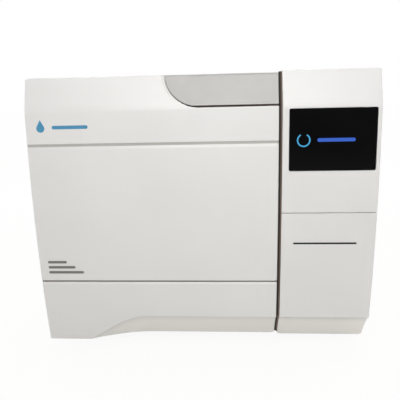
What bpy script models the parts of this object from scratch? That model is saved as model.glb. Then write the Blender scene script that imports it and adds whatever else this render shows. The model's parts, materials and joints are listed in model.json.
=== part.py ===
"""Benchtop autoclave with a hinged door, built as separate pieces on their joint axes.

Metres, +Z up. The origin is on the bench at the middle of the footprint; the front faces -Y.
"""

import math

import bmesh
import bpy
from mathutils import Matrix, Vector

# ---- driving dimensions: covers ----------------------------------------------------------
WIDTH = 0.480
DEPTH = 0.600
FOOT_HEIGHT = 0.020
DOOR_BOTTOM = 0.0158
DOOR_TOP = 0.410
COLUMN_BOTTOM = 0.0128
COLUMN_TOP = 0.4125
DOOR_RIGHT = 0.1057
COLUMN_LEFT = 0.1103

FRONT_Y = -DEPTH / 2
AHEAD_Y = FRONT_Y - 0.020
COVER_REAR_Y = FRONT_Y + 0.058
COVER_WALL = 0.003
GAP = 0.0004
BARE = 0.0005

BULGE_RADIUS = 1.7
BULGE_Z = 0.230
LEAN_Z = 0.368
LEAN_SLOPE = 0.357
CREASE_Z = 0.0600
UNDERCUT_SLOPE = 0.81
LEFT_EDGE = -WIDTH / 2
RIGHT_EDGE = WIDTH / 2

ARCH_START = -0.175
ARCH_RISE = 0.613
ARCH_FOOT_Z = 0.020
ARCH_BLEND = (-0.132, -0.082)
DOOR_STATIONS = (LEFT_EDGE, ARCH_START, -0.160, -0.145, -0.132, -0.120, -0.107, -0.095, -0.082, DOOR_RIGHT)

GROOVE_HEIGHTS = (0.1177, 0.3200)
GROOVE_WIDTH = 0.0026
GROOVE_DEPTH = 0.0016

# ---- sheet-metal casing -------------------------------------------------------------------
CASING_HALF = 0.235
CASING_BOTTOM = 0.021
CASING_TOP = 0.405
CASING_FRONT_Y = -0.238
CASING_REAR_Y = 0.285
CASING_SHEET = 0.0012
CASING_CORNER = 0.012
PANEL_TOP = CASING_TOP - CASING_SHEET - GAP
PAN_TOP = 0.0220
PAN_RIM = 0.045
FRAME_FRONT_Y = -0.236
FRAME_REAR_Y = -0.233
INNER_HALF = CASING_HALF - CASING_SHEET - GAP
SEAT_Y = FRAME_FRONT_Y - BARE

VENT_COUNT, VENT_PITCH = 7, 0.014
VENT_LOW_Z, VENT_HEIGHT = 0.120, 0.005
VENT_FRONT_Y, VENT_LENGTH = 0.150, 0.070

# ---- chamber and trays --------------------------------------------------------------------
CHAMBER_X = -0.067
CHAMBER_Z = 0.215
CHAMBER_RADIUS = 0.1235
CHAMBER_WALL = 0.0025
CHAMBER_REAR_Y = 0.190
DOME_DEPTH = 0.036
FLANGE_RADIUS = 0.150
FLANGE_FRONT_Y = -0.2415
JACKET_INNER, JACKET_OUTER = 0.1312, 0.1520
JACKET_FRONT_Y, JACKET_REAR_Y = -0.2300, 0.1500

TRAY_HEIGHTS = (("lower", 0.160), ("middle", 0.205), ("upper", 0.250))
TRAY_HALF = 0.0870
TRAY_DEPTH = 0.018
TRAY_SHEET = 0.0012
TRAY_FRONT, TRAY_REAR = -0.2050, 0.1450

# ---- door mechanism -----------------------------------------------------------------------
HINGE_X = -0.233
HINGE_Y = -0.250
HINGE_HEIGHTS = (0.105, 0.325)

HANDLE_LEFT = -0.0510
HANDLE_BOTTOM = 0.3665
HANDLE_CORNER = 0.052
HANDLE_CLEARANCE = 0.0018
POCKET_REAR_Y = -0.268
HANDLE_AXIS_Z = 0.372
HANDLE_AXIS_DEPTH = 0.0042
HANDLE_LUGS = (-0.020, 0.084)
LUG_WIDTH = 0.006
HANDLE_BORE = 0.0019

PLATE_FRONT_Y, PLATE_REAR_Y = -0.2556, -0.2435
PLATE_RADIUS = 0.146
SEAL_INNER, SEAL_OUTER = 0.1277, 0.1403

LOCK_Y = -0.262
LOCK_Z = 0.250
LOCK_PIN_HEIGHTS = (0.220, 0.280)
LOCK_PIN_RADIUS = 0.004
LOCK_PIN_HOLE = 0.0052
LOCK_BAR_X = 0.132

LATCH_X = 0.090
LATCH_Y = -0.258
LATCH_Z = 0.330

# ---- control column -----------------------------------------------------------------------
DISPLAY_LEFT, DISPLAY_RIGHT = 0.1190, 0.2345
DISPLAY_LOW, DISPLAY_HIGH = 0.2795, 0.3630
SEAM_Z = 0.2218
FLAP_BOTTOM = 0.0560
FLAP_REAR_Y = -0.283
FLAP_PIVOT = (0.175, -0.2900, 0.0600)
PRINTER_X = 0.1706
PAPER_SLOT_Z = 0.177
PAPER_SLOT_HALF = (0.0437, 0.0013)
DRAIN_TAPS = (("clean", 0.165), ("used", 0.208))
DRAIN_TAP_Z = 0.098

# ---- machinery bay and rear fittings ------------------------------------------------------
BAY_LEFT = 0.095
BAY_RIGHT = 0.228
TANK_LOW, TANK_HIGH = 0.3000, 0.3920
FILL_NECK = (0.170, 0.005)
FAN_X = 0.158
FAN_Z = 0.300
FAN_HALF = 0.060
FAN_BORE = 0.057
INLET_LEFT, INLET_RIGHT = 0.1460, 0.2210
INLET_LOW, INLET_HIGH = 0.0590, 0.0870
ROCKER_X, ROCKER_Y, ROCKER_Z = 0.163, 0.282, 0.073
VALVE_Z = 0.350
DRAIN_X, DRAIN_Z = 0.105, 0.060
RESET_X, RESET_Z = 0.120, 0.100

# ---- scene, collections and materials -----------------------------------------------------
for old in list(bpy.data.objects):
    bpy.data.objects.remove(old)

PARTS = bpy.data.collections.new("benchtop_autoclave")
HELPERS = bpy.data.collections.new("cutters")
bpy.context.scene.collection.children.link(PARTS)
bpy.context.scene.collection.children.link(HELPERS)

FINISHES = {
    "white_plastic": ((0.83, 0.83, 0.82), 0.38, 0.0),
    "silver": ((0.60, 0.60, 0.59), 0.32, 0.9),
    "black_glass": ((0.01, 0.01, 0.01), 0.08, 0.0),
    "painted_steel": ((0.78, 0.78, 0.77), 0.45, 0.0),
    "stainless": ((0.60, 0.60, 0.60), 0.28, 1.0),
    "zinc_steel": ((0.50, 0.51, 0.53), 0.45, 1.0),
    "aluminium": ((0.70, 0.70, 0.71), 0.40, 1.0),
    "brass": ((0.72, 0.53, 0.25), 0.35, 1.0),
    "silicone": ((0.75, 0.76, 0.78), 0.60, 0.0),
    "rubber": ((0.03, 0.03, 0.03), 0.80, 0.0),
    "dark_plastic": ((0.05, 0.05, 0.05), 0.50, 0.0),
    "tank_plastic": ((0.75, 0.80, 0.84), 0.40, 0.0),
    "insulation": ((0.70, 0.66, 0.55), 0.90, 0.0),
    "circuit_board": ((0.03, 0.22, 0.09), 0.50, 0.0),
    "paper": ((0.90, 0.89, 0.86), 0.80, 0.0),
    "red_plastic": ((0.60, 0.05, 0.04), 0.45, 0.0),
}


def material(name, finish):
    colour, roughness, metallic = FINISHES[finish]
    made = bpy.data.materials.new(f"{name}_{finish}")
    made.use_nodes = True
    shader = made.node_tree.nodes["Principled BSDF"]
    shader.inputs["Base Color"].default_value = (*colour, 1.0)
    shader.inputs["Roughness"].default_value = roughness
    shader.inputs["Metallic"].default_value = metallic
    return made


def place(name, mesh, finish, matrix=None):
    """Puts a mesh in the scene: as a part when it has a finish, and otherwise as a hidden cutter."""
    made = bpy.data.objects.new(name, mesh)
    made.matrix_world = matrix or Matrix()
    if finish:
        PARTS.objects.link(made)
        mesh.materials.append(material(name, finish))
    else:
        HELPERS.objects.link(made)
        made.hide_render = True
        made.display_type = "WIRE"
    return made


def mesh_from(name, bm):
    bmesh.ops.recalc_face_normals(bm, faces=bm.faces)
    mesh = bpy.data.meshes.new(name)
    bm.to_mesh(mesh)
    bm.free()
    return mesh


# ---- shapes -------------------------------------------------------------------------------
def box(name, low, high, finish=None):
    bm = bmesh.new()
    bmesh.ops.create_cube(bm, size=1.0)
    low, high = Vector(low), Vector(high)
    bmesh.ops.scale(bm, vec=high - low, verts=bm.verts)
    bmesh.ops.translate(bm, vec=(low + high) / 2, verts=bm.verts)
    return place(name, mesh_from(name, bm), finish)


def rod(name, start, end, radius, finish=None, steps=24, end_radius=None):
    """A cylinder, or a cone when the end radius differs."""
    start, end = Vector(start), Vector(end)
    along = end - start
    bm = bmesh.new()
    bmesh.ops.create_cone(
        bm, cap_ends=True, segments=steps, radius1=radius, depth=along.length,
        radius2=radius if end_radius is None else end_radius,
    )
    mesh = mesh_from(name, bm)
    mesh.transform(Matrix.Translation((start + end) / 2) @ along.to_track_quat("Z", "Y").to_matrix().to_4x4())
    made = place(name, mesh, finish)
    mesh.shade_smooth()
    mesh.set_sharp_from_angle(angle=math.radians(40))
    return made


def turned(name, profile, centre, axis, finish=None, steps=36, ring=True):
    """A turned shape from (radius, height along the axis) points; a ring's profile is a closed loop."""
    loop = list(profile)
    doubled_area = sum(r1 * h2 - r2 * h1 for (r1, h1), (r2, h2) in zip(loop, loop[1:] + loop[:1]))
    if doubled_area > 0:
        loop.reverse()
    bm = bmesh.new()
    points = [bm.verts.new((radius, 0.0, height)) for radius, height in loop]
    for first, second in zip(points, points[1:]):
        bm.edges.new((first, second))
    if ring:
        bm.edges.new((points[-1], points[0]))
    mesh = bpy.data.meshes.new(name)
    bm.to_mesh(mesh)
    bm.free()
    turn = Vector(axis).to_track_quat("Z", "Y").to_matrix().to_4x4()
    made = place(name, mesh, finish, Matrix.Translation(centre) @ turn)
    screw = made.modifiers.new("turn", "SCREW")
    screw.steps = screw.render_steps = steps
    screw.use_merge_vertices = True
    screw.merge_threshold = 0.00005
    return made


PLATE_AXES = {
    "X": ((0, 1, 0), (0, 0, 1), (1, 0, 0)),
    "Y": ((1, 0, 0), (0, 0, 1), (0, -1, 0)),
    "Z": ((1, 0, 0), (0, 1, 0), (0, 0, 1)),
}


def plate(name, outline, low, high, along, finish=None):
    """A flat outline given thickness from low to high along one world axis."""
    curve = bpy.data.curves.new(name, "CURVE")
    curve.dimensions = "2D"
    curve.fill_mode = "BOTH"
    curve.extrude = (high - low) / 2
    spline = curve.splines.new("POLY")
    spline.points.add(len(outline) - 1)
    for point, (u, v) in zip(spline.points, outline):
        point.co = (u, v, 0.0, 1.0)
    spline.use_cyclic_u = True
    guide = bpy.data.objects.new(name + "_outline", curve)
    HELPERS.objects.link(guide)
    bpy.context.view_layer.update()
    mesh = bpy.data.meshes.new_from_object(guide.evaluated_get(bpy.context.evaluated_depsgraph_get()))
    bpy.data.objects.remove(guide)
    bm = bmesh.new()
    bm.from_mesh(mesh)
    bmesh.ops.remove_doubles(bm, verts=bm.verts, dist=1e-6)
    bmesh.ops.recalc_face_normals(bm, faces=bm.faces)
    bm.to_mesh(mesh)
    bm.free()
    u_axis, v_axis, w_axis = (Vector(axis) for axis in PLATE_AXES[along])
    turn = Matrix((u_axis, v_axis, w_axis)).transposed().to_4x4()
    middle = (low + high) / 2 * (-1 if along == "Y" else 1)
    mesh.transform(turn @ Matrix.Translation((0, 0, middle)))
    return place(name, mesh, finish)


def loft(name, stations, section, finish=None):
    """A solid through unlike (y, z) sections, one at each x in stations."""
    bm = bmesh.new()
    rings = [[bm.verts.new((x, y, z)) for y, z in section(x)] for x in stations]
    for ring, following in zip(rings, rings[1:]):
        for i in range(len(ring)):
            j = (i + 1) % len(ring)
            bm.faces.new((ring[i], ring[j], following[j], following[i]))
    bm.faces.new(rings[0])
    bm.faces.new(rings[-1])
    return place(name, mesh_from(name, bm), finish)


def arc(centre, radii, start, end, steps):
    """Points along an elliptical arc, angles in degrees."""
    turns = [math.radians(start + (end - start) * i / steps) for i in range(steps + 1)]
    return [(centre[0] + radii[0] * math.cos(t), centre[1] + radii[1] * math.sin(t)) for t in turns]


def boolean(obj, other, operation):
    modifier = obj.modifiers.new(operation.lower(), "BOOLEAN")
    modifier.operation = operation
    modifier.object = other


def cut(obj, *others):
    for other in others:
        boolean(obj, other, "DIFFERENCE")


def join(obj, *others):
    for other in others:
        boolean(obj, other, "UNION")


def pivot(obj, point):
    """Moves the object's origin to its joint axis, leaving its shape where it is."""
    move = Matrix.Translation(obj.matrix_world.inverted() @ Vector(point))
    obj.data.transform(move.inverted())
    obj.matrix_world = obj.matrix_world @ move


# ---- the front surface shared by the covers -----------------------------------------------
def front_y(z):
    """Front of the covers at height z: a shallow arc with a straight lean at the top."""
    rise = min(z, LEAN_Z) - BULGE_Z
    depth = BULGE_RADIUS - math.sqrt(BULGE_RADIUS**2 - rise**2)
    return FRONT_Y + depth + max(0.0, z - LEAN_Z) * LEAN_SLOPE


def surface_y(z, crease):
    """The same surface with the undercut that slopes back below the crease."""
    return front_y(max(z, crease)) + max(0.0, crease - z) * UNDERCUT_SLOPE


def side_section(bottom, top, crease, inset, rear):
    """Side outline (y, z): up the front, then down the rear."""
    crease = max(crease, bottom + 0.001)
    steps = 6
    heights = [bottom] + [crease + (LEAN_Z - crease) * i / steps for i in range(steps + 1)]
    if top > LEAN_Z:
        heights.append(top)
    points = [(surface_y(z, crease) + inset, z) for z in heights]
    return points + [(rear, top), (rear, bottom)]


def arch_crease(x):
    """Height of the door's lower crease: a straight rise, then a blend into the level part."""
    start, end = ARCH_BLEND
    if x >= end:
        return CREASE_Z
    if x <= ARCH_START:
        return DOOR_BOTTOM
    if x <= start:
        return ARCH_FOOT_Z + (x - ARCH_START) * ARCH_RISE
    low = ARCH_FOOT_Z + (start - ARCH_START) * ARCH_RISE
    share = (x - start) / (end - start)
    return low + (CREASE_Z - low) * (1 - (1 - share) ** 2)


# ---- enclosure ----------------------------------------------------------------------------
def rounded_top(half, bottom, top, radius):
    """Outline (x, z) of a panel with round upper corners."""
    left = arc((-half + radius, top - radius), (radius, radius), 180, 90, 5)
    right = arc((half - radius, top - radius), (radius, radius), 90, 0, 5)
    return [(-half, bottom)] + left + right + [(half, bottom)]


def make_base_pan():
    """Shallow tray of folded sheet that everything inside stands on."""
    sheet = CASING_SHEET
    half = INNER_HALF
    low = FOOT_HEIGHT + 0.0003
    outline = [
        (-half, low), (half, low), (half, PAN_RIM), (half - sheet, PAN_RIM),
        (half - sheet, low + sheet), (-half + sheet, low + sheet), (-half + sheet, PAN_RIM), (-half, PAN_RIM),
    ]
    plate("base_pan", outline, FRAME_REAR_Y + BARE, CASING_REAR_Y - 0.0025, "Y", "zinc_steel")


def make_casing_cover():
    """Wrap-round sheet with louvre slots in both sides and a filling hole in the top."""
    sheet = CASING_SHEET
    outer = rounded_top(CASING_HALF, CASING_BOTTOM, CASING_TOP, CASING_CORNER)
    inner = rounded_top(CASING_HALF - sheet, CASING_BOTTOM, CASING_TOP - sheet, CASING_CORNER - sheet)
    casing = plate("casing_cover", outer + inner[::-1], CASING_FRONT_Y, CASING_REAR_Y, "Y", "painted_steel")
    for i in range(VENT_COUNT):
        z = VENT_LOW_Z + VENT_PITCH * i
        low = (-WIDTH, VENT_FRONT_Y, z)
        high = (WIDTH, VENT_FRONT_Y + VENT_LENGTH, z + VENT_HEIGHT)
        cut(casing, box(f"vent_slot_{i}", low, high))
    hole = 0.020
    cut(casing, rod("fill_hole", (*FILL_NECK, CASING_TOP - hole), (*FILL_NECK, CASING_TOP + hole), hole))


def make_rear_panel():
    """Back plate with a hole for each fitting that passes through it."""
    outline = rounded_top(INNER_HALF, 0.0220, PANEL_TOP, CASING_CORNER)
    sheet = 0.0015
    panel = plate("rear_panel", outline, CASING_REAR_Y - sheet, CASING_REAR_Y, "Y", "painted_steel")
    inside, outside = CASING_REAR_Y - 0.015, CASING_REAR_Y + 0.015
    margin = 0.0015
    holes = (
        ("fan", FAN_X, FAN_Z, FAN_BORE), ("valve", CHAMBER_X, VALVE_Z, 0.013), (
            "drain", DRAIN_X, DRAIN_Z, 0.0095,
        ),
        ("reset", RESET_X, RESET_Z, 0.0057),
    )
    for name, x, z, radius in holes:
        cut(panel, rod(f"{name}_hole", (x, inside, z), (x, outside, z), radius, steps=32))
    cut(panel, box("inlet_hole", (INLET_LEFT - margin, inside, INLET_LOW - margin),
                   (INLET_RIGHT + margin, outside, INLET_HIGH + margin)))


def make_front_frame():
    """Structural plate that carries the chamber mouth, the hinges and the column."""
    outline = rounded_top(INNER_HALF, 0.0225, PANEL_TOP, CASING_CORNER)
    frame = plate("front_frame", outline, FRAME_FRONT_Y, FRAME_REAR_Y, "Y", "zinc_steel")
    mouth = (CHAMBER_X, -0.25, CHAMBER_Z), (CHAMBER_X, -0.22, CHAMBER_Z)
    cut(
        frame,
        rod("mouth_hole", *mouth, CHAMBER_RADIUS + 0.0045, steps=36),
        box("hook_window", (LATCH_X - 0.007, -0.25, 0.312), (LATCH_X + 0.007, -0.22, 0.354)),
    )


def make_feet():
    for side, x in (("left", -0.205), ("right", 0.205)):
        for end, y in (("front", -0.205), ("rear", 0.245)):
            rod(f"foot_{end}_{side}", (x, y, 0), (x, y, FOOT_HEIGHT), 0.0135, "rubber", 20, 0.0155)


def make_column_cover():
    """Moulded cover of the control column, open at the rear, at the display and at the service bay."""
    stations = (COLUMN_LEFT, RIGHT_EDGE)
    inner = (COLUMN_LEFT + COVER_WALL, RIGHT_EDGE - COVER_WALL)
    cover = loft(
        "column_cover", stations,
        lambda x: side_section(COLUMN_BOTTOM, COLUMN_TOP, CREASE_Z, 0, COVER_REAR_Y), "white_plastic",
    )
    floor, ceiling = COLUMN_BOTTOM + COVER_WALL, COLUMN_TOP - COVER_WALL
    hollow = loft(
        "column_hollow", inner,
        lambda x: side_section(floor, ceiling, CREASE_Z, COVER_WALL, COVER_REAR_Y + 0.010),
    )
    cut(
        cover, hollow,
        box(
            "display_window", (DISPLAY_LEFT, AHEAD_Y, DISPLAY_LOW),
            (DISPLAY_RIGHT, FRONT_Y + 0.020, DISPLAY_HIGH),
        ),
        box("service_bay", (COLUMN_LEFT - 0.010, AHEAD_Y, FLAP_BOTTOM), (WIDTH, FLAP_REAR_Y, SEAM_Z)),
    )
    reach = 2 * COVER_WALL
    for i, z in enumerate(LOCK_PIN_HEIGHTS):
        start, end = (COLUMN_LEFT - reach, LOCK_Y, z), (COLUMN_LEFT + reach, LOCK_Y, z)
        cut(cover, rod(f"column_pin_hole_{i}", start, end, LOCK_PIN_HOLE, steps=16))


# ---- control column fittings --------------------------------------------------------------
def make_display():
    """Glass flush with the column's face, and the circuit board behind it."""
    z_low, z_high = DISPLAY_LOW + GAP, DISPLAY_HIGH - GAP
    thickness = 0.003
    outline = [
        (front_y(z_low), z_low), (front_y(z_low) + thickness, z_low),
        (front_y(z_high) + thickness, z_high), (front_y(z_high), z_high),
    ]
    plate("display_lens", outline, DISPLAY_LEFT + GAP, DISPLAY_RIGHT - GAP, "X", "black_glass")
    front, rear = FRONT_Y + 0.0100, FRONT_Y + 0.0115
    margin = 0.0030
    board = box(
        "display_board", (DISPLAY_LEFT + margin, front, DISPLAY_LOW + margin),
        (DISPLAY_RIGHT - margin, rear, DISPLAY_HIGH - margin), "circuit_board",
    )
    join(board, box("display_plugs", (0.150, rear - BARE, 0.300), (0.205, rear + 0.0055, 0.320)))


def make_service_flap():
    """Lower panel that folds down about its bottom edge; it wraps round the crease and has short rims."""
    low, high = FLAP_BOTTOM + 0.0008, SEAM_Z - 0.0012
    left, right = COLUMN_LEFT, RIGHT_EDGE
    rear = FLAP_REAR_Y - 0.0014

    def section(inset, low, high, rear):
        steps = 6
        heights = [low] + [CREASE_Z + (high - CREASE_Z) * i / steps for i in range(steps + 1)]
        return [(surface_y(z, CREASE_Z) + inset, z) for z in heights] + [(rear, high), (rear, low)]

    flap = loft("service_flap", (left, right), lambda x: section(0, low, high, rear), "white_plastic")
    wall = COVER_WALL
    hollow = loft(
        "flap_hollow", (left + wall, right - wall),
        lambda x: section(wall, low + wall, high - wall, rear + 0.010),
    )
    half_length, half_height = PAPER_SLOT_HALF
    slot = box(
        "paper_slot", (PRINTER_X - half_length, AHEAD_Y, PAPER_SLOT_Z - half_height),
        (PRINTER_X + half_length, FRONT_Y + 0.020, PAPER_SLOT_Z + half_height),
    )
    cut(flap, hollow, slot)
    pivot(flap, FLAP_PIVOT)


def make_printer():
    """Thermal printer behind the flap: a body open to the front, with the roll and the platen in it."""
    half_body, half_bay = 0.0440, 0.0415
    half_core = half_bay + 0.0010
    wall = 0.003
    front, low, high = FLAP_REAR_Y + 0.0010, 0.1300, 0.2020
    body = box("printer_body", (PRINTER_X - half_body, front, low), (PRINTER_X + half_body, SEAT_Y, high),
               "dark_plastic")
    cut(body, box("roll_bay", (PRINTER_X - half_bay, front - 0.010, low + wall),
                  (PRINTER_X + half_bay, SEAT_Y - 0.002, high - wall)))
    rollers = (
        ("paper_roll", "paper", -0.2590, 0.1580, 0.0190, 0.0395, 0.0032, 0.0008),
        ("platen_roller", "rubber", -0.2760, 0.1850, 0.0045, 0.0400, 0.0022, 0.0008),
    )
    for name, finish, y, z, radius, half_length, core_radius, slack in rollers:
        bore_half = half_core + BARE
        cut(body, rod(f"{name}_bore", (PRINTER_X - bore_half, y, z), (PRINTER_X + bore_half, y, z),
                      core_radius + slack, steps=16))
        roller = rod(name, (PRINTER_X - half_length, y, z), (PRINTER_X + half_length, y, z), radius, finish)
        ends = (PRINTER_X - half_core, y, z), (PRINTER_X + half_core, y, z)
        join(roller, rod(f"{name}_core", *ends, core_radius, steps=14))
        pivot(roller, (PRINTER_X, y, z))


def make_drain_valves():
    """Two tap bodies on the front frame, each with a quarter-turn knob."""
    z = DRAIN_TAP_Z
    body_front, knob_front, wing_front = -0.2600, -0.2690, -0.2760
    for water, x in DRAIN_TAPS:
        valve = rod(f"drain_valve_{water}", (x, SEAT_Y, z), (x, body_front, z), 0.0090, "brass", 20)
        spout_y = body_front + 0.008
        join(valve, rod(f"drain_spout_{water}", (x, spout_y, z), (x, spout_y, z - 0.022), 0.0045, steps=14))
        knob = rod(
            f"drain_knob_{water}", (x, body_front - GAP, z), (x, knob_front, z), 0.0120, "dark_plastic",
            20,
        )
        half_width, half_length = 0.0035, 0.0110
        join(knob, box(f"drain_wing_{water}", (x - half_width, wing_front, z - half_length),
                       (x + half_width, knob_front + 0.001, z + half_length)))
        pivot(knob, (x, -0.2650, z))


def make_door_lock():
    """Motor, lead screw and a bar with two pins that slide into the door's edge."""
    bar = box("lock_bar", (LOCK_BAR_X, LOCK_Y - 0.007, 0.212), (LOCK_BAR_X + 0.004, LOCK_Y + 0.007, 0.288),
              "stainless")
    for i, z in enumerate(LOCK_PIN_HEIGHTS):
        join(bar, rod(f"lock_pin_{i}", (COLUMN_LEFT + 0.001, LOCK_Y, z), (LOCK_BAR_X + 0.002, LOCK_Y, z),
                      LOCK_PIN_RADIUS, steps=16))
    join(bar, rod("lock_nut", (LOCK_BAR_X + 0.002, LOCK_Y, LOCK_Z), (LOCK_BAR_X + 0.016, LOCK_Y, LOCK_Z),
                  0.0085, steps=18))
    cut(bar, rod("lock_nut_bore", (LOCK_BAR_X - 0.010, LOCK_Y, LOCK_Z), (LOCK_BAR_X + 0.030, LOCK_Y, LOCK_Z),
                 0.0046, steps=16))
    screw = rod("lock_screw", (LOCK_BAR_X + 0.001, LOCK_Y, LOCK_Z), (0.1840, LOCK_Y, LOCK_Z), 0.0040,
                "stainless", 16)
    join(screw, rod("screw_collar", (0.1740, LOCK_Y, LOCK_Z), (0.1780, LOCK_Y, LOCK_Z), 0.0065, steps=16))
    pivot(screw, (LOCK_BAR_X, LOCK_Y, LOCK_Z))
    motor = rod("lock_motor", (0.1790, LOCK_Y, LOCK_Z), (0.2260, LOCK_Y, LOCK_Z), 0.0165, "zinc_steel", 24)
    join(
        motor,
        box("motor_foot", (0.1850, LOCK_Y, LOCK_Z - 0.012), (0.2150, SEAT_Y, LOCK_Z + 0.012)),
    )
    cut(motor, rod("motor_bore", (0.1700, LOCK_Y, LOCK_Z), (0.1900, LOCK_Y, LOCK_Z), 0.0050, steps=16))


# ---- door ---------------------------------------------------------------------------------
def handle_outline(offset):
    """Outline (x, z) of the handle opening, shrunk by offset, running out past the top and right."""
    centre = (HANDLE_LEFT + HANDLE_CORNER, DOOR_TOP)
    radii = (HANDLE_CORNER - offset, DOOR_TOP - HANDLE_BOTTOM - offset)
    corner = arc(centre, radii, 180, 270, 8)
    right, top = DOOR_RIGHT + 0.010, DOOR_TOP + 0.010
    return [(corner[0][0], top)] + corner + [(right, corner[-1][1]), (right, top)]


def make_door_cover():
    """Moulded cover with an arched undercut, two grooves, the handle pocket and hinge notches."""
    cover = loft(
        "door_cover", DOOR_STATIONS,
        lambda x: side_section(DOOR_BOTTOM, DOOR_TOP, arch_crease(x), 0, COVER_REAR_Y), "white_plastic",
    )
    wall = COVER_WALL
    hollow = loft(
        "door_hollow", (LEFT_EDGE + wall, *DOOR_STATIONS[1:-1], DOOR_RIGHT - wall),
        lambda x: side_section(DOOR_BOTTOM + wall, DOOR_TOP - wall, arch_crease(x) + 0.002, wall,
                               COVER_REAR_Y + 0.010),
    )
    cut(hollow, plate("pocket_walls", handle_outline(-wall), AHEAD_Y, POCKET_REAR_Y + wall, "Y"))
    pocket = plate("handle_pocket", handle_outline(0), AHEAD_Y, POCKET_REAR_Y, "Y")
    cut(cover, hollow, pocket)
    for i, z in enumerate(GROOVE_HEIGHTS):
        low = (-WIDTH, AHEAD_Y, z - GROOVE_WIDTH / 2)
        high = (WIDTH, front_y(z) + GROOVE_DEPTH, z + GROOVE_WIDTH / 2)
        cut(cover, box(f"groove_{i}", low, high))
    for i, z in enumerate(HINGE_HEIGHTS):
        half_notch = 0.034
        low = (-WIDTH, HINGE_Y - 0.012, z - half_notch)
        high = (LEFT_EDGE + wall + 0.001, COVER_REAR_Y + 0.010, z + half_notch)
        cut(cover, box(f"hinge_notch_{i}", low, high))
    for i, z in enumerate(LOCK_PIN_HEIGHTS):
        start, end = (DOOR_RIGHT - 2 * wall, LOCK_Y, z), (DOOR_RIGHT + 2 * wall, LOCK_Y, z)
        cut(cover, rod(f"door_pin_hole_{i}", start, end, LOCK_PIN_HOLE, steps=16))
    lug_y = axis_y()
    for i, x in enumerate(HANDLE_LUGS):
        low = (x, lug_y + 0.0006, HANDLE_BOTTOM - 0.0015)
        join(cover, box(f"handle_lug_{i}", low, (x + LUG_WIDTH, lug_y + 0.008, HANDLE_AXIS_Z + 0.0045)))
    bore = (HANDLE_LUGS[0] - 0.010, lug_y, HANDLE_AXIS_Z), (HANDLE_LUGS[1] + 0.016, lug_y, HANDLE_AXIS_Z)
    cut(cover, rod("lug_bores", *bore, HANDLE_BORE, steps=16))
    pivot(cover, (HINGE_X, HINGE_Y, CHAMBER_Z))


def axis_y():
    """Depth of the handle's pin, just behind the lever's front skin."""
    return front_y(HANDLE_AXIS_Z) + HANDLE_AXIS_DEPTH


def make_door_handle():
    """Lever that fills the opening: a front plate, a finger lip along the top and a barrel on the pin."""
    z_axis = HANDLE_AXIS_Z
    y_axis = axis_y()
    radius = 0.0040
    skin = 0.0040
    top = COLUMN_TOP - 0.001
    lip = 0.0035
    rear = POCKET_REAR_Y - 0.002
    barrel = arc((y_axis, z_axis), (radius, radius), 0, -160, 8)
    front = [(front_y(z), z) for z in (z_axis + 0.003, top)]
    back = [(rear, top), (rear, top - lip), (front_y(top - lip) + skin, top - lip),
            (front_y(z_axis + 0.006) + skin, z_axis + 0.006)]
    handle = plate(
        "door_handle", barrel + front + back, HANDLE_LEFT - 0.005, DOOR_RIGHT - 0.0005, "X", "silver",
    )
    limits = plate("handle_limits", handle_outline(HANDLE_CLEARANCE), AHEAD_Y, POCKET_REAR_Y + 0.018, "Y")
    boolean(handle, limits, "INTERSECT")
    cut(handle, rod("handle_bore", (HANDLE_LEFT - 0.009, y_axis, z_axis), (DOOR_RIGHT + 0.005, y_axis, z_axis),
                    HANDLE_BORE, steps=16))
    reach = 0.008
    side_gap = 0.001
    for i, x in enumerate(HANDLE_LUGS):
        low, high = (x - side_gap, y_axis + 0.0001), (x + LUG_WIDTH + side_gap, y_axis + 0.012)
        cut(
            handle,
            box(f"lug_notch_{i}", (*low, z_axis - reach), (*high, z_axis + reach)),
            box(f"lug_sweep_{i}", (low[0], y_axis - HANDLE_BORE, z_axis - reach), (*high, z_axis)),
        )
    pivot(handle, ((HANDLE_LEFT + DOOR_RIGHT) / 2, y_axis, z_axis))
    rod("handle_pin", (HANDLE_LUGS[0] - 0.0015, y_axis, z_axis), (DOOR_RIGHT - 0.0017, y_axis, z_axis), 0.0015,
        "stainless", 14)


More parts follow.
